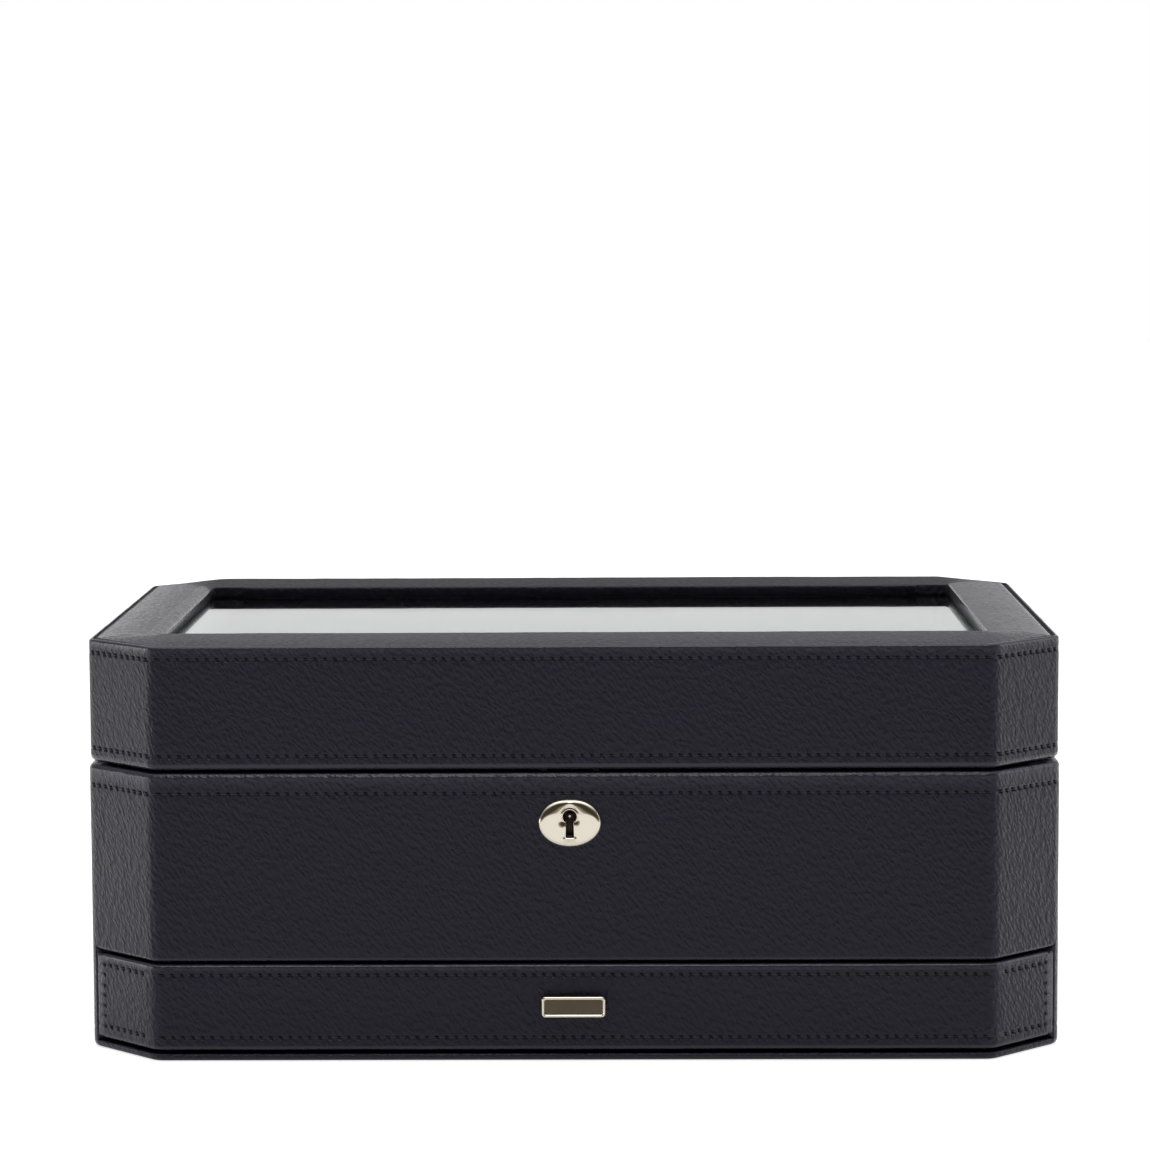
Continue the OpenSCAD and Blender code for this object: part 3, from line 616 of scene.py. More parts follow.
round_stops = [Stop(2, BUTT)] + [stop for stop in side_stops(2) if stop.s > BUTT]
for side in (3, 4, 5, 6, 7, 0, 1):
    round_stops += corner_stops(side) + side_stops(side, extra_stops.get(side, ()))
round_stops += corner_stops(2) + [stop for stop in side_stops(2) if stop.s < -BUTT]
round_stops += [Stop(2, -BUTT)]
outline = plan(round_stops, 0)
GIRTH = {}                          # how far round the box each stop lies
for (last, _), (place, _), stop in zip(outline, outline[1:], round_stops[1:]):
    GIRTH[stop] = max(GIRTH.values(), default=0.0) + (place - last).length
left_stile, right_stile = round_stops.index(Stop(5, -stile_s)), round_stops.index(Stop(7, stile_s))
front_stops = round_stops[left_stile:right_stile + 1]
left_stops = round_stops[:left_stile + 1]
right_stops = round_stops[right_stile:]


def on_round(stops, back_edge=None):
    """The places of the stops as a function of the inset."""
    return lambda inset: plan(stops, inset, back_edge)


def on_side_walls(stops):
    """The side walls' stops. The one that they share with the front lies at the edge beside the drawer."""
    shared = (front_stops[0], front_stops[-1])
    return lambda inset: [plan([stop], inset, STILE_Y if stop in shared else None)[0] for stop in stops]


def lock_hole(p):
    """Where the leather is cut away for the lock's rim plate and behind the lock plate."""
    in_rim = abs(p.x - LOCK_X) < LOCK_SPAN and LOCK_BACK - HALF_D < p.y < 0 and p.z > case_high.z - 2
    behind_plate = abs(p.x - LOCK_X) < KEY_SPAN and p.y < 0 and KEY_OPENING[0] < p.z < KEY_OPENING[1]
    return in_rim or behind_plate


case = Sheets()
RIM_R = 1.0                         # of the roundings above and below the rim's slanting edge
RIM_SLANT = 62                      # how far that edge leans outward, in degrees
RIM_H = 0.6                         # its height between the roundings
RIM_IN = RIM_R + 0.32               # where the upper rounding turns, inside the outline
RIM_END, SHADE_END = 2.5, 4.2       # how far down the rim ends, and the painted shade under it
rim = [Row(inset, case_high.z) for inset in (WALL, 6.0, 3.0)]
rim += bend_rows(RIM_IN, case_high.z - RIM_R, RIM_R, 0, RIM_SLANT)
rim += bend_rows(RIM_R, case_high.z - RIM_R - RIM_H, RIM_R, RIM_SLANT, 90)
# painted highlight on the rim's folds
top_rows = [row._replace(taut=row.taut * 0.7) for row in rim]
for row in wall_rows(case_high.z - RIM_END, SPLIT_Z, (CASE_LINE,)):
    # painted shade on the wall just under the rim
    top_rows.append(row._replace(taut=0.5 if row.z > case_high.z - SHADE_END else 0.0))
case.patch(round_stops, top_rows, on_round(round_stops), skip=lock_hole)

FOOT_R = 1.6                        # of the case's lower edge
foot_rows = bend_rows(FOOT_R, BASE_Z + FOOT_R, FOOT_R, 90, 180) + [Row(4.0, BASE_Z)]
for stops in (left_stops, right_stops):
    case.patch(stops, wall_rows(SPLIT_Z, 2.4, lines=(FOOT_LINE,)) + foot_rows, on_side_walls(stops))

PANEL_R = 1.4                       # of the front panel's lower edge
under_rows = wall_rows(SPLIT_Z, PANEL_Z + PANEL_R)
under_rows += bend_rows(PANEL_R, PANEL_Z + PANEL_R, PANEL_R, 90, 180)[1:]
under_rows += [Row(inset, PANEL_Z) for inset in (4.0, WALL)]
case.patch(front_stops, under_rows, on_round(front_stops, STILE_Y))

LIP_R = 0.7                         # of the upper edge of the strip under the drawer
base_rows = [Row(inset, SHELF_Z) for inset in (WALL, 5.0)]
lip_rows = bend_rows(LIP_R, SHELF_Z - LIP_R, LIP_R, 0, 90, 3)
base_rows += [row._replace(taut=0.0) for row in lip_rows + foot_rows[1:]]
case.patch(front_stops, base_rows, on_round(front_stops, STILE_Y))


def mirrored(path, mirror, turned_over):
    """The path, or its mirror image if mirror is -1, run the way that lets the sheet face outward."""
    path = [(Vector((p.x * mirror, p.y)), Vector((n.x * mirror, n.y))) for p, n in path]
    return path[::-1] if turned_over else path


def stile_path(mirror):
    """Plan path of the leather turned round the case's front edge beside the drawer."""
    radius = 0.7
    tangent = radius * TANGENT
    edge = Vector((HALF_W + HALF_D - CUT + STILE_Y, STILE_Y))
    centre = edge + Vector((-tangent, radius))
    path = [(edge + Vector((tangent, tangent)) / math.sqrt(2), Vector((1, -1)) / math.sqrt(2))]
    for k in range(1, 5):
        facing = turned(Vector((0, -1)), math.radians(45 - 45 * k / 4))
        path.append((centre + facing * radius, facing))
    for x in (165.0, 162.5, BAY_X):
        path.append((Vector((x, STILE_Y)), Vector((0, -1))))
    return mirrored(path, mirror, mirror > 0)


for mirror in (-1, 1):
    path = stile_path(mirror)
    rows = wall_rows(PANEL_Z + 1.0, SHELF_Z)
    case.patch([Stop(0)] * len(path), rows, lambda inset, path=path: path, stitched=False)

case.piece("case_leather_skin", "case", ["case_leather"])
case.stitching("case_stitching", "case")

# ---- lid side leather ----

LID_IN = 0.45                       # the lid stands back from the case by this much
LID_R = 1.8                         # of the lid's lower edge
LID_SAG = 0.5                       # the leather bulges this far below the lid's boards
LID_LINES = (140.2, 106.6)          # heights of the stitch lines
TOP_R = 1.0                         # of the folded edge
TOP_DROP = 0.2                      # the folded edge lies this far below the top of the CAD's leather
FOLD_W = 1.35                       # folded edge of the side leather
GROOVE = 0.8                        # gap between it and the top leather
TOP_LEATHER_T = 0.9                 # thickness of the top leather
ASIDE = 0.5                         # the top leather lies this far to the left
SEAM_DEPTH = 0.9                    # depth of the groove


def staple_hole(p):
    """Where the leather under the lid is cut away for the plate of the staples."""
    return abs(p.x - LOCK_X) < LOCK_SPAN and LOCK_BACK - HALF_D < p.y < 0 and p.z < lid_low.z + 1


lid = Sheets()
groove_z = lid_high.z - SEAM_DEPTH
# painted shade on the groove's floor
lid_rows = [Row(FOLD_W + GROOVE + 1.2, groove_z, taut=SHADED), Row(FOLD_W, groove_z, taut=SHADED)]
lid_rows += [Row(FOLD_W, lid_high.z - 0.35, taut=SHADED), Row(FOLD_W - 0.06, lid_high.z - 0.1)]
lid_rows += [Row(FOLD_W - 0.2, lid_high.z)] + bend_rows(TOP_R, lid_high.z - TOP_R, TOP_R, 0, 90)
lid_rows += wall_rows(lid_high.z - TOP_R - 0.6, lid_low.z - LID_SAG + LID_R + 0.6, LID_LINES)
lid_rows += bend_rows(LID_R, lid_low.z - LID_SAG + LID_R, LID_R, 90, 180, 6)
lid_rows += [Row(inset, lid_low.z - LID_SAG) for inset in (3.0, 6.0, WALL)]
for k, row in enumerate(lid_rows):
    drop = TOP_DROP if row.z > lid_high.z - 2 else 0
    lid_rows[k] = row._replace(inset=row.inset + LID_IN, z=row.z - drop)
lid.patch(round_stops, lid_rows, on_round(round_stops), skip=staple_hole)
lid.piece("lid_side_leather_skin", "lid", ["lid_side_leather"])
lid.stitching("lid_stitching", "lid")

# ---- lid top leather with its window ----

glass_low, glass_high = box_of("lid_glass")
_, top_high = box_of("lid_top_leather")
LAP = 6.0                           # the glass reaches this far under the window's edge
window_low = Vector((glass_low.x + LAP, glass_low.y + LAP))
window_high = Vector((glass_high.x - LAP, glass_high.y - LAP))
WINDOW_R = 1.6                      # rounding of the window's corners in plan
CROWN = 0.5                         # rise of the padded top between its edges, at the sides
FRONT_FALL = 0.85                   # how far it falls toward the front edge
REAR_FALL = 0.9                     # how far the rear part falls toward the window
FRONT_EDGE, REAR_EDGE, SIDE_EDGE = -0.5, 0.3, -0.15     # height of its outer edge over the CAD's


def window_ring(stops):
    """The window's outline, matched to the stops of the outer outline, with normals that face into it."""
    reach = {side: side_reach(side) for side in SIDES}
    arc = CORNER_R * EIGHTH
    corner_length = 2 * arc + 2 * reach[1]
    left, right = window_low.x + WINDOW_R, window_high.x - WINDOW_R
    front, rear = window_low.y + WINDOW_R, window_high.y - WINDOW_R
    middles = {1: Vector((right, rear)), 3: Vector((left, rear))}
    middles.update({5: Vector((left, front)), 7: Vector((right, front))})
    ring = []
    for stop in stops:
        side = stop.side
        if stop.turn is None and side % 2 == 0:
            facing = turned(Vector((1, 0)), EIGHTH * side)
            first, last = middles[(side - 1) % 8], middles[(side + 1) % 8]
            middle = first.lerp(last, 0.5 + 0.5 * stop.s / reach[side])
        else:
            corner = side if side % 2 else (side - 1) % 8
            if stop.turn is None:
                length = arc + reach[side] + stop.s
            else:
                length = arc * stop.turn + (0 if side % 2 else arc + 2 * reach[1])
            facing = turned(Vector((1, 0)), EIGHTH * (corner - 1) + 2 * EIGHTH * length / corner_length)
            middle = middles[corner]
        ring.append((middle + facing * WINDOW_R, -facing))
    return ring


def edge_fold(facing):
    """Width and depth of the leather's fold into the window: soft at the left, tight elsewhere."""
    soft, rear = max(0, facing.x) ** 2, max(0, -facing.y) ** 2
    return 0.8 + 4.7 * soft - 0.4 * rear, 0.8 + 1.2 * soft - 0.4 * rear


def swell(facing, share):
    """Height of the padded top, share of the way from its outer edge to the window's edge that faces so."""
    front, rear, side = max(0, facing.y) ** 2, max(0, -facing.y) ** 2, facing.x ** 2
    at_front = FRONT_FALL * (1 - (1 - share) ** 3) + FRONT_EDGE
    at_rear = REAR_EDGE - REAR_FALL * share ** 1.5
    at_side = CROWN * (1 - (2 * share - 1) ** 2) + SIDE_EDGE
    return front * at_front + rear * at_rear + side * at_side


def nap(facing):
    """The top leather is stretched smoother over the sides, where it gets a painted highlight, and lies
    slacker and rougher at the rear, where it gets painted shade.
    """
    return 0.5 * max(0, -facing.y) ** 2 - 0.45 * facing.x ** 2


def top_rings():
    """The top leather's rings, from the groove over its outer edge to the window's and down to the glass.
    A point is its place and height, its normal's part in plan and upward, and its painted light: below zero
    pulled smooth and painted paler as a highlight, above zero painted darker as shade."""
    inset, radius = LID_IN + FOLD_W + GROOVE, 0.9
    outer = top_high.z
    aside = Vector((-ASIDE, 0))
    window = window_ring(round_stops)
    edge = [(0, SEAM_DEPTH, math.radians(90))]
    for k in range(6):
        angle = math.radians(90 - 18 * k)
        edge.append((radius * (1 - math.sin(angle)), radius * (1 - math.cos(angle)), angle))
    rings = []
    for drawn_in, drop, angle in edge:
        ring = []
        for (place, normal), (_, way) in zip(plan(round_stops, inset + drawn_in), window):
            # painted light on the outer edge: a painted highlight on the right side, painted shade on the
            # left
            taut = TAUT_HIGHLIGHT * normal.x * (0.8 if normal.x > 0 else 1.0)
            z = outer - drop + swell(way, 0)
            ring.append((place + aside, z, normal * math.sin(angle), math.cos(angle), taut))
        rings.append(ring)
    flat_from = [place + aside for place, _ in plan(round_stops, inset + radius)]
    for share in (0.04, 0.12, 0.25, 0.4, 0.55, 0.7, 0.82, 0.92, 0.98):
        ring = []
        for start, (place, way) in zip(flat_from, window):
            spot = start.lerp(place - way * edge_fold(way)[0], share)
            ring.append((spot, outer + swell(way, share), Vector((0, 0)), 1.0, nap(way)))
        rings.append(ring)
    for k in range(9):
        out, rise = math.sin(math.radians(90 * k / 8)), math.cos(math.radians(90 * k / 8))
        ring = []
        for place, way in window:
            wide, deep = edge_fold(way)
            z = outer + swell(way, 1) - deep * (1 - rise)
            # painted highlight growing round the fold into the window
            taut = nap(way) + (TAUT_HIGHLIGHT - nap(way)) * 0.75 * out
            ring.append((place - way * wide * (1 - out), z, way * out, rise, taut))
        rings.append(ring)
    # painted shade on the window's wall down by the glass
    for z in (glass_high.z + 1.4, glass_high.z):
        rings.append([(place, z, way, 0.0, 0.5) for place, way in window])
    return rings


verts, lay, hollow = [], [], []
rings = top_rings()
for ring in rings:
    for place, z, facing, rise, taut in ring:
        spot = Vector((place.x, place.y, z))
        wave = ripple(spot) * (1.4 if rise == 1.0 else 0.6)
        verts.append(spot + Vector((facing.x, facing.y, rise)) * wave)
        lay.append((place.x * MM, (place.y - z) * MM, 0.0))
        hollow.append(taut)
top_leather = new_piece(
    "lid_top_leather_skin", verts, ring_faces(len(rings), len(round_stops), ends="open"), LEATHER,
    "lid", ["lid_top_leather"], {"lay": lay, "hollow": hollow})
thicken(top_leather, TOP_LEATHER_T)

# ---- drawer leather ----

DRAWER_BACK = drawer_high.y + 1.2   # the leather of the ends comes close to the case's front edges
DRAWER_TOP = drawer_high.z + 0.4
DRAWER_R = 1.2                      # of the drawer front's upper and lower edge
DRAWER_LINES = (30.2, 8.3)          # heights of the stitch lines
EDGE_LINE = 6.0                     # upright stitches run this far from the drawer front's ends
TIP_BACK = 2.97                     # this far from its ends the leather turns round them

end_s = side_reach(5) + CORNER_R * TANGENT + (DRAWER_BACK + HALF_D - CUT) * math.sqrt(2)
line_s, last_s = end_s - EDGE_LINE, end_s - TIP_BACK
drawer_stops = side_stops(5, low=-line_s, lines=[-line_s], extra=[-last_s])
drawer_stops += corner_stops(6) + side_stops(6) + corner_stops(7)
drawer_stops += side_stops(7, high=line_s, lines=[line_s], extra=[last_s])
drawer_stops = [stop for stop in drawer_stops if stop.side == 6 or abs(stop.s) <= last_s + 1e-6]

drawer_rows = [Row(inset, DRAWER_TOP) for inset in (WALL, 5.0, 2.0)]
drawer_rows += bend_rows(DRAWER_R, DRAWER_TOP - DRAWER_R, DRAWER_R, 0, 90)
face_rows = wall_rows(DRAWER_TOP - DRAWER_R - 0.5, drawer_low.z + DRAWER_R + 0.5, DRAWER_LINES, 3.0)
face_rows = {round(row.z, 3): row for row in face_rows}
upper, lower = DRAWER_LINES
count = round((upper - lower) / STITCH)
pitch = (upper - lower) / count
for k in range(count + 1):
    for step in (-HOLE_EDGE, -NEEDLE, 0, NEEDLE, HOLE_EDGE):
        z = lower + k * pitch + step
        key = round(z, 3)
        if lower <= key <= upper:
            face_rows[key] = face_rows.get(key, Row(0.0, z))._replace(hole=step == 0)
drawer_rows += sorted(face_rows.values(), key=lambda row: -row.z)
drawer_rows += bend_rows(DRAWER_R, drawer_low.z + DRAWER_R, DRAWER_R, 90, 180)
drawer_rows += [Row(inset, drawer_low.z) for inset in (2.0, 5.0, WALL)]


def near_end(stop):
    """Whether a stop lies where the leather is drawn round the drawer front's ends, which get a painted
    highlight.
    """
    outward = {5: -1, 7: 1}.get(stop.side, 0) * stop.s
    return outward > line_s + 0.9


drawer = Sheets()
drawer.patch(drawer_stops, drawer_rows, on_round(drawer_stops, DRAWER_BACK - 0.01), stretched=near_end)


def drawer_end_path(mirror):
    """Plan path of the leather turned round the drawer front's end and over its back."""
    tip = Vector((HALF_W + HALF_D - CUT + DRAWER_BACK, DRAWER_BACK))
    start = tip - Vector((1, 1)) / math.sqrt(2) * TIP_BACK
    bevel = turned(Vector((1, 1)) / math.sqrt(2), math.radians(10))
    path = []
    for along, angle in ((0, 0), (0.25, 6), (0.5, 10), (1.4, 12), (1.75, 22), (2.0, 50)):
        path.append((start + bevel * along, turned(Vector((1, -1)) / math.sqrt(2), math.radians(angle))))
    for x in (tip.x - 1.6, tip.x - 4.0, tip.x - 8.0, tip.x - WALL * math.sqrt(2)):
        path.append((Vector((x, DRAWER_BACK)), Vector((0, 1))))
    return mirrored(path, mirror, mirror < 0)


# painted highlight over all the leather turned round the drawer front's ends
for mirror in (-1, 1):
    path = drawer_end_path(mirror)
    rows = [row for row in drawer_rows if row.inset < 0.8]      # without its top and underside
    drawer.patch([Stop(0)] * len(path), rows, lambda inset, path=path: [(p - n * inset, n) for p, n in path],
                 stitched=False, stretched=lambda stop: True)

drawer.piece("drawer_leather_skin", "drawer", ["drawer_leather"])
drawer.stitching("drawer_stitching", "drawer")

# ---- leather in the window ----

# A separate folded strip lines the window's rear wall between the tabs at its corners.
TAB = 12.5                          # width of a tab
STRIP_T = 0.75                      # thickness of the strip
STATIONS = 61
strip_top = top_high.z + swell(Vector((0, -1)), 1) - 0.1
# across to the rear and up, from the strip's foot at the glass over its folded top to the padding
strip_profile = [
    (0.1, glass_high.z + 0.05), (-STRIP_T, glass_high.z + 0.05), (-STRIP_T, strip_top - 0.9),
    (0.05 - STRIP_T, strip_top - 0.45), (0.25 - STRIP_T, strip_top - 0.12), (-0.15, strip_top),
    (0.5, strip_top + 0.02), (1.6, strip_top - 0.1), (1.6, strip_top - 0.9), (0.1, strip_top - 1.4)]
span = window_high.x - TAB
verts = []
for k in range(STATIONS):
    x = -span + 2 * span * k / (STATIONS - 1)
    wave = 0.05 * noise.noise(Vector((x / 9, 0, 3)))
    verts += [Vector((x, window_high.y + wave, 0)) + Vector((0, out, rise)) for out, rise in strip_profile]
new_piece("window_rear_strip", verts, ring_faces(STATIONS, len(strip_profile), clockwise=True), LEATHER,
          "lid", (),
          {"lay": [(v.x * MM, (v.z - v.y) * MM, 0.0) for v in verts], "hollow": [0.0] * len(verts)})

# ---- lock plate and pull ----


KEY_R = 2.4             # radius of the keyhole's round part, which ends at the plate's middle
SLOT_W = 1.25           # half width of its slot there
SLOT_FLARE = 0.0417     # how far each wall of the slot leans outward, going down
SLOT_END = 4.8          # how far below the middle the slot ends
AROUND = 144            # points round the plate
TINY = 1e-6
# The keyhole's rounded edge and wall: how far from the hole, and the share of the plate's rise.
KEY_EDGE = ((0.75, 0.93), (0.55, 0.955), (0.4, 0.99), (0.25, 1.0), (0.12, 0.985), (0.03, 0.93), (0.0, 0.85),
            (0.0, 0.5), (0.0, 0.0))
# Dents and bumps round the keyhole from the plate's middle: across, up, half width, half height, rise.
PRESSED = ((-2.2, 0.9, 1.3, 1.3, -0.55), (2.2, 1.2, 1.0, 1.2, -0.45), (0.0, -5.5, 2.2, 0.6, 0.4))

plate_low, plate_high = box_of("lock_plate")
plate_middle = (plate_low + plate_high) / 2
half_plate_w, half_plate_h = (plate_high.x - plate_low.x) / 2, (plate_high.z - plate_low.z) / 2
plate_rise = -HALF_D - plate_low.y


def keyhole_reach(c, s):
    """Distance from the plate's middle to the keyhole's edge, in the direction (c, s)."""
    wall = SLOT_W / max(abs(c) - SLOT_FLARE * max(-s, 0), TINY)
    end = (KEY_R if s > 0 else SLOT_END) / max(abs(s), TINY)
    return max(2 * KEY_R * max(s, 0), min(wall, end))


def edge_width(angle):
    """Width of the plate's rounded edge: widest on its two upper shoulders."""
    if math.sin(angle) > 0:
        return 1.6 + 3.0 * math.sin(2 * angle) ** 2
    return 1.6 + 0.8 * math.sin(angle) ** 2


def pressed(x, z):
    """Rise of the dents and bumps at a place on the plate."""
    return sum(rise * math.exp(-((x - across) / w) ** 4 - ((z - up) / h) ** 2)
               for across, up, w, h, rise in PRESSED)


def lock_plate_mesh():
    """A domed oval plate, ring by ring: its rounded edge, its field and the keyhole's edge and wall."""
    profile = []
    for k in range(13):
        angle = math.radians(90 * k / 12)
        profile.append(("rim", 1 - math.cos(angle), plate_rise * 0.9 * math.sin(angle)))
    for share in (0.15, 0.3, 0.45, 0.6, 0.7, 0.8, 0.9):
        profile.append(("field", share, plate_rise * (0.9 + 0.03 * share)))
    profile += [("hole", outside, plate_rise * share) for outside, share in KEY_EDGE]
    verts = []
    for kind, value, rise in profile:
        for step in range(AROUND):
            angle = 2 * math.pi * step / AROUND
            c, s = math.cos(angle), math.sin(angle)
            rim = 1 / math.hypot(c / half_plate_w, s / half_plate_h)
            bend = rim - edge_width(angle)
            hole = keyhole_reach(c, s)
            if kind == "rim":
                reach = rim - (rim - bend) * value
            elif kind == "field":
                reach = bend + (hole + KEY_EDGE[0][0] - bend) * value
            else:
                reach = hole + value
            bump = pressed(reach * c, reach * s) if rise > 0.8 * plate_rise else 0
            spot = (plate_middle.x + reach * c, -HALF_D - rise - bump, plate_middle.z + reach * s)
            verts.append(Vector(spot))
    return verts, ring_faces(len(profile), AROUND, ends="joined")


def post_tip_mesh():
    """The polished round end of the post that a hollow key turns on."""
    verts = []
    rings, around, radius = 6, 20, 0.6
    for k in range(rings + 1):
        angle = math.radians(90 * k / rings)
        out = max(radius * math.cos(angle), 0.02)
        y = -HALF_D - 0.2 - 0.6 * math.sin(angle)
        for step in range(around):
            turn = 2 * math.pi * step / around
            verts.append(Vector((LOCK_X + out * math.cos(turn), y, KEY_Z + out * math.sin(turn))))
    return verts, ring_faces(rings + 1, around)


verts, faces = lock_plate_mesh()
new_piece("lock_plate_dome", verts, faces, NICKEL, "case", ["lock_plate"])
verts, faces = post_tip_mesh()
new_piece("key_post_tip", verts, faces, NICKEL, "case")

pull_low, pull_high = box_of("drawer_pull")
pull_middle = (pull_low + pull_high) / 2
PULL_UP = 1.1                       # the pull sits this far above the middle of the drawer front
PULL_DISH = 0.95                    # depth of its dished face behind the rim
PULL_TILT = math.tan(math.radians(12.5))    # that face looks a little upward


def rounded_loop(half_w, half_h, radius, per_corner=6):
    """Points round a rectangle with rounded corners, about its middle."""
    loop = []
    for corner in range(4):
        cx = (half_w - radius) * (1 if corner in (0, 3) else -1)
        cz = (half_h - radius) * (1 if corner < 2 else -1)
        for k in range(per_corner + 1):
            angle = math.radians(90 * corner + 90 * k / per_corner)
            loop.append((cx + radius * math.cos(angle), cz + radius * math.sin(angle)))
    return loop


def pull_mesh():
    """Rings from the stem at the drawer front, out round the bevelled rim and into the dished face."""
    half_w, half_h = (pull_high.x - pull_low.x) / 2, (pull_high.z - pull_low.z) / 2 - 0.1
    face_y = pull_low.y
    floor_y = face_y + PULL_DISH
    rings = [
        (1.6, 1.2, -HALF_D + 0.3), (1.6, 1.2, face_y + 2.6), (1.3, 1.2, face_y + 2.35),
        (0.35, 1.3, face_y + 2.3), (0.1, 1.4, face_y + 2.15), (0.0, 1.4, face_y + 1.8),
        (0.0, 1.4, face_y + 0.8), (0.08, 1.35, face_y + 0.4), (0.25, 1.2, face_y + 0.12),
        (0.45, 1.1, face_y), (0.65, 1.0, face_y), (0.85, 0.9, face_y + 0.12),
        (0.92, 0.85, floor_y - 0.05), (1.0, 0.8, floor_y), (1.4, 0.5, floor_y)]
    verts = []
    for k, (inset, radius, y) in enumerate(rings):
        for x, z in rounded_loop(half_w - inset, half_h - inset, radius):
            dish = PULL_TILT * z if k >= len(rings) - 3 else 0
            verts.append(Vector((pull_middle.x + x, y + dish, pull_middle.z + PULL_UP + z)))
    return verts, ring_faces(len(rings), len(verts) // len(rings))


verts, faces = pull_mesh()
new_piece("drawer_pull_cast", verts, faces, NICKEL, "drawer", ["drawer_pull"])

# ---- cushions ----


SHRUNK = 2.2            # the form starts this much smaller all round than it ends
SWELL_LIMIT = 5.0       # and no point of it moves further than this


def cushion_base():
    """One watch cushion about its middle: a pillow roll with flat ends, before it swells."""
    low, high = box_of("watch_cushion_1")
    size = (high - low) / 2
    half = size - Vector((SHRUNK, SHRUNK, SHRUNK))
    bm = bmesh.new()
    bmesh.ops.create_cube(bm, size=2)
    bmesh.ops.subdivide_edges(bm, edges=bm.edges[:], cuts=11, use_grid_fill=True)
    for v in bm.verts:
        x, y, z = v.co
        # a roll: its section is a rounded box, and the ends draw in
        section = (abs(y) ** 4 + abs(z) ** 4) ** 0.25
        round_y, round_z = [c / max(section, TINY) * max(abs(y), abs(z)) for c in (y, z)]
        ends = 1 - 0.06 * abs(x) ** 3
        v.co = Vector((x * half.x, round_y * half.y * ends, round_z * half.z * ends)) * MM
    mesh = bpy.data.meshes.new("watch_cushion_form")
    bm.to_mesh(mesh)
    bm.free()
    return mesh, size


def applied(piece):
    """Applies a piece's modifiers to its mesh."""
    graph = bpy.context.evaluated_depsgraph_get()
    mesh = bpy.data.meshes.new_from_object(piece.evaluated_get(graph))
    piece.modifiers.clear()
    piece.data = mesh
    return mesh


def inflated(mesh, limit, voxel=4.5, frames=20):
    """The mesh blown up by a cloth simulation, no point further than limit mm from its place."""
    form = new_object("watch_cushion_form", mesh)
    bpy.context.view_layer.objects.active = form
    remesh = form.modifiers.new("even", "REMESH")
    remesh.mode = "VOXEL"
    remesh.voxel_size = voxel * MM
    start = [v.co.copy() for v in applied(form).vertices]
    cloth = form.modifiers.new("cloth", "CLOTH")
    cloth.settings.use_pressure = True
    cloth.settings.uniform_pressure_force = 4
    cloth.settings.effector_weights.gravity = 0
    cloth.settings.quality = 6
    cloth.collision_settings.use_collision = False
    for step in range(1, frames + 1):
        scene.frame_set(step)
    for v, place in zip(applied(form).vertices, start):
        move = v.co - place
        if move.length > limit * MM:
            v.co = place + move.normalized() * limit * MM
    scene.frame_set(1)
    smooth = form.modifiers.new("rounding", "SUBSURF")
    smooth.levels = smooth.render_levels = 1
    final = applied(form)
    bpy.data.objects.remove(form)
    return final


def seam_ring(half_y, half_z, count=96):
    """A closed loop round the cushion's end panel."""
    loop = []
    for k in range(count):
        angle = 2 * math.pi * k / count
        c, s = math.cos(angle), math.sin(angle)
        reach = 1 / ((abs(c) / half_y) ** 4 + (abs(s) / half_z) ** 4) ** 0.25
        loop.append((reach * c, reach * s))
    return loop


form, cushion_half = cushion_base()
pad_mesh = inflated(form, SWELL_LIMIT)
fitted = [max(abs(v.co[axis]) for v in pad_mesh.vertices) / MM for axis in range(3)]
scales = [min(1.0, cushion_half[axis] / fitted[axis]) for axis in range(3)]
PIPE_R = 0.9                        # of the piping
PIPE_STEPS = 8                      # points round it
PIPE_IN = 0.985                     # its share of the cushion's section
PINCH, PINCH_REACH = 0.018, 3       # how far, and how far off, the thread of a seam draws the cover in
end_x = cushion_half.x - 4.5        # place of the seams along the cushion
for v in pad_mesh.vertices:
    v.co = Vector([v.co[axis] * scales[axis] for axis in range(3)])
    for side in (-1, 1):
        away = v.co.x / MM - side * end_x
        if abs(away) < PINCH_REACH:
            pull_in = PINCH * (1 - abs(away) / PINCH_REACH) ** 2
            v.co.y *= 1 - pull_in
            v.co.z *= 1 - pull_in
pad_mesh.shade_smooth()
pad_mesh.materials.append(CUSHION_SUEDE)


def piping_mesh():
    """Piping along both end seams of the cushion."""
    near = [v.co for v in pad_mesh.vertices if abs(abs(v.co.x) / MM - end_x) < 4]
    half_y, half_z = [max(abs(place[axis]) for place in near) / MM * PIPE_IN for axis in (1, 2)]
    loop = seam_ring(half_y, half_z)
    count = len(loop)
    verts, faces = [], []
    for side in (-1, 1):
        faces += ring_faces(count, PIPE_STEPS, len(verts), ends="joined", clockwise=True)
        for k, (y, z) in enumerate(loop):
            after, before = loop[(k + 1) % count], loop[k - 1]
            along = Vector((0, after[0] - before[0], after[1] - before[1])).normalized()
            away = along.cross(Vector((1, 0, 0)))
            for step in range(PIPE_STEPS):
                angle = 2 * math.pi * step / PIPE_STEPS
                round_it = away * math.cos(angle) + Vector((1, 0, 0)) * math.sin(angle)
                verts.append(Vector((side * end_x, y, z)) + round_it * PIPE_R)
    return verts, faces


pipe_verts, pipe_faces = piping_mesh()
for number in range(1, 11):
    node = f"watch_cushion_{number}"
    low, high = box_of(node)
    middle = (low + high) / 2
    mesh = pad_mesh.copy()
    for v in mesh.vertices:
        v.co += Vector(middle) * MM
        v.co += Vector((0, 0, 0.35 * MM * noise.noise(v.co / (14 * MM))))
        v.co.z = max(v.co.z, low.z * MM)
    pad = new_object(f"watch_pad_{number}", mesh)
    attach(pad, "case")
    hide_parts(node)
    placed = [Vector((v.x, v.y, max(v.z, low.z - middle.z))) + middle for v in pipe_verts]
    new_piece(f"watch_pad_piping_{number}", placed, pipe_faces, CUSHION_SUEDE, "case")

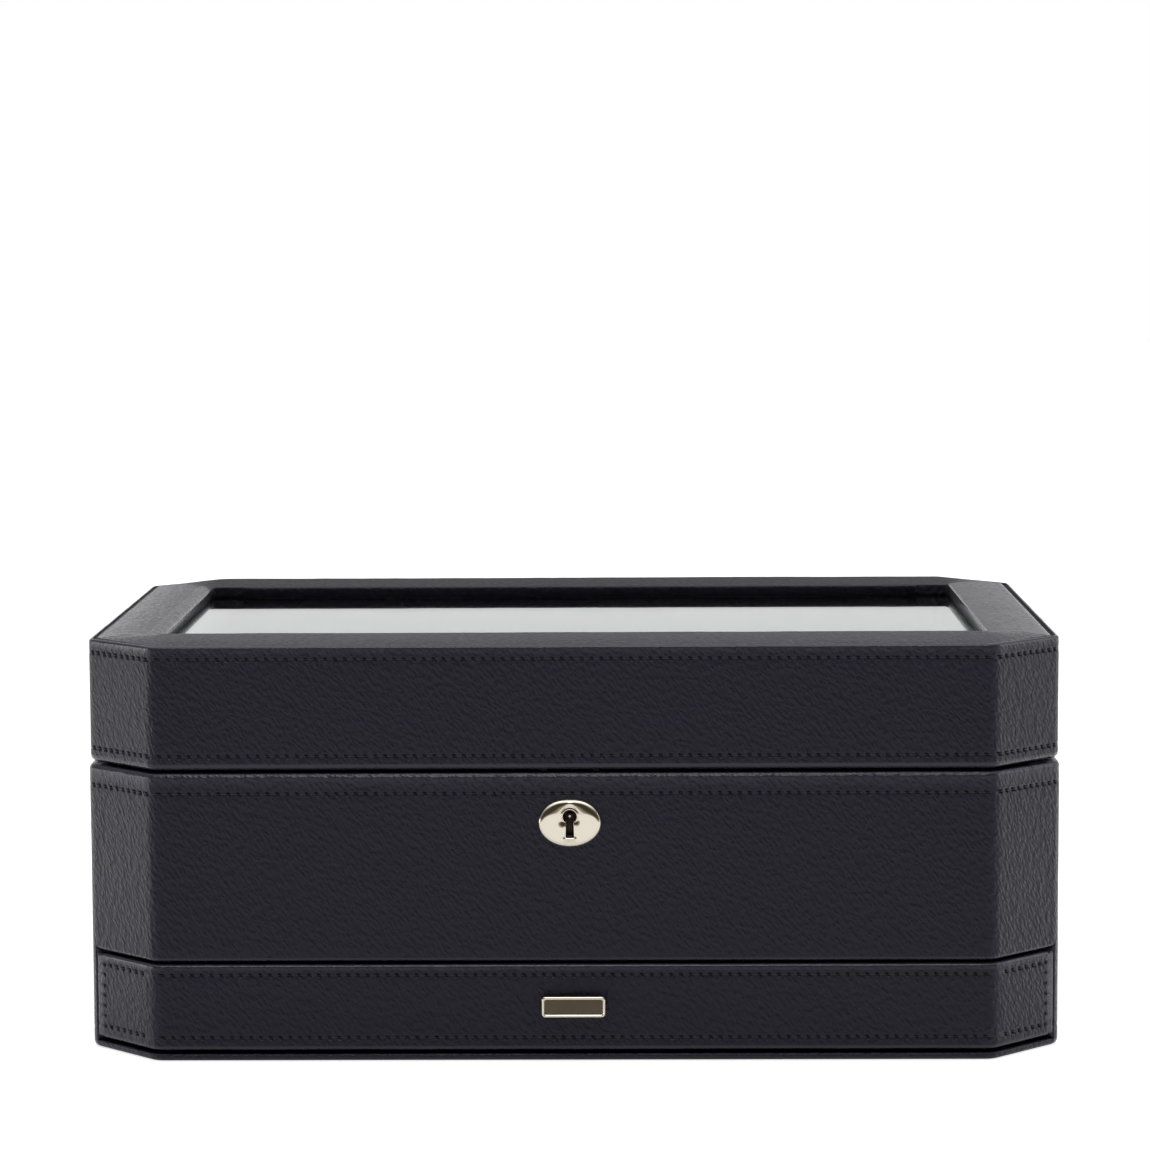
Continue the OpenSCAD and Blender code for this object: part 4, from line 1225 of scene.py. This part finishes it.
# ---- finishes of the CAD pieces ----

FINISH = {
    "leather": LEATHER, "board": FIBRE_BOARD, "plywood": PLYWOOD, "suede": SUEDE,
    "cushion_suede": CUSHION_SUEDE, "felt": FELT, "glass": GLASS, "nickel": NICKEL, "brass": BRASS}
# Width in mm of the eased edges.
EASED = {"suede": 0.5, "felt": 0.2, "board": 0.3, "plywood": 0.4, "brass": 0.12, "glass": 0.25}

for part in frame["record"]["subparts"]:
    node, slot = frame["nodes"][part["node"]], part["material_slot"]
    node.data.materials.clear()
    node.data.materials.append(FINISH[slot])
    if slot in EASED:
        weld(node)
        eased = node.modifiers.new("eased", "BEVEL")
        eased.width = EASED[slot] * MM
        eased.segments = 2
        eased.limit_method = "ANGLE"
        eased.angle_limit = math.radians(40)

# ---- room ----

PAPER = 0.6                         # how white the table top is by itself
SEEN_GLOW = 0.7                     # what makes it plain white for the camera
FRONT_GLOW = 0.3                    # of the mirrored table in front of the box
BESIDE_GLOW = 1.35                  # the same beside and behind the box
FAR_GLOW = 0.3                      # and further off
TABLE = 6.0                         # half the table top's length, in metres
WHITE = (1, 1, 1, 1)
WARM = (1, 0.86, 0.72, 1)           # of the room's dark side
BOX_MIDDLE = Vector((0, 0, 0.07))   # where the lamps point


def studio_floor():
    """A white table top; where it is seen or mirrored it is white, and it keeps the box's shadow."""
    material, tree, place = new_material("white_table_top")
    ray = add(tree, "LightPath")
    mirrored = add(tree, "Math", {
        0: ray.outputs["Is Glossy Ray"], 1: ray.outputs["Is Transmission Ray"]}, operation="MAXIMUM")
    spot = add(tree, "SeparateXYZ", {0: place})
    aside = add(tree, "Math", {0: spot.outputs["X"]}, operation="ABSOLUTE")
    beside = add(tree, "MapRange", {0: aside, 1: 0.5, 2: 1.1, 3: BESIDE_GLOW, 4: FAR_GLOW})
    near = add(tree, "MapRange", {0: spot.outputs["Y"], 1: -0.13, 2: -0.02, 3: FRONT_GLOW, 4: beside})
    faint = add(tree, "Math", {0: mirrored, 1: near}, operation="MULTIPLY")
    glow = add(tree, "Math", {
        0: ray.outputs["Is Camera Ray"], 1: SEEN_GLOW, 2: faint}, operation="MULTIPLY_ADD")
    paper = add(tree, "BsdfDiffuse", {"Color": (PAPER, PAPER, PAPER, 1)})
    light = add(tree, "Emission", {"Strength": glow})
    both = add(tree, "AddShader", {0: paper, 1: light})
    add(tree, "OutputMaterial", {"Surface": both})
    mesh = bpy.data.meshes.new("table_top")
    corners_in_order = [(-TABLE, -TABLE, 0), (TABLE, -TABLE, 0), (TABLE, TABLE, 0), (-TABLE, TABLE, 0)]
    mesh.from_pydata(corners_in_order, [], [(0, 1, 2, 3)])
    mesh.materials.append(material)
    floor = new_object("table_top", mesh)


def studio_room():
    """A white room: brightest along the horizon and overhead, and dark behind the camera below its lights.
    The camera itself sees plain white."""
    world = bpy.data.worlds.new("white_room")
    scene.world = world
    world.use_nodes = True
    tree = world.node_tree
    tree.nodes.clear()
    way = add(tree, "SeparateXYZ", {0: add(tree, "TexCoord").outputs["Generated"]})
    height = way.outputs["Z"]
    soft = {"interpolation_type": "SMOOTHSTEP"}
    aside = add(tree, "Math", {0: way.outputs["X"]}, operation="ABSOLUTE")
    wings = add(tree, "MapRange", {0: aside, 1: 0.1, 2: 0.16, 3: 1.0, 4: 1.6}, **soft)
    far_aside = add(tree, "MapRange", {0: aside, 1: 0.3, 2: 0.8, 3: 1.0, 4: 0.45}, **soft)
    wings = add(tree, "Math", {0: wings, 1: far_aside}, operation="MULTIPLY")
    wall = add(tree, "MapRange", {0: height, 1: 0.03, 2: 0.3, 3: 1.1, 4: 0.4}, **soft)
    wall = add(tree, "Math", {0: wall, 1: wings}, operation="MULTIPLY")
    ceiling = add(tree, "MapRange", {0: height, 1: 0.5, 2: 0.95, 3: 0.0, 4: 1.1}, **soft)
    bright = add(tree, "Math", {0: wall, 1: ceiling}, operation="ADD")
    toward = add(tree, "MapRange", {0: way.outputs["Y"], 1: -0.12, 2: -0.55}, **soft)
    below = add(tree, "MapRange", {0: height, 1: 0.78, 2: 0.58}, **soft)
    dark = add(tree, "Math", {0: toward, 1: below}, operation="MULTIPLY")
    dim = add(tree, "MapRange", {0: height, 1: 0.0, 2: 0.25, 3: 0.45, 4: 0.05})
    level = add(tree, "Mix", {"Factor": dark, 2: bright, 3: dim})
    warm = add(tree, "Mix", {"Factor": dark, 6: WHITE, 7: WARM}, data_type="RGBA")
    seen = add(tree, "LightPath").outputs["Is Camera Ray"]
    tint = add(tree, "Mix", {"Factor": seen, 6: warm, 7: WHITE}, data_type="RGBA")
    strength = add(tree, "Mix", {"Factor": seen, 2: level, 3: 1.0})
    back = add(tree, "Background", {"Color": tint, "Strength": strength})
    add(tree, "OutputWorld", {"Surface": back})


def lamp(name, place, size, power):
    """A soft box that faces the object."""
    data = bpy.data.lights.new(name, "AREA")
    data.shape = "SQUARE"
    data.size = size
    data.energy = power
    soft = new_object(name, data)
    soft.location = place
    soft.rotation_euler = (BOX_MIDDLE - Vector(place)).to_track_quat("-Z", "Y").to_euler()
    soft.visible_camera = False


studio_floor()
studio_room()
lamp("soft_box_right", (1.3, 0.2, 0.5), 0.7, 3)
lamp("soft_box_over", (0.0, -1.05, 1.5), 0.7, 5)
lamp("soft_box_left", (-1.2, -0.1, 0.14), 0.4, 2)
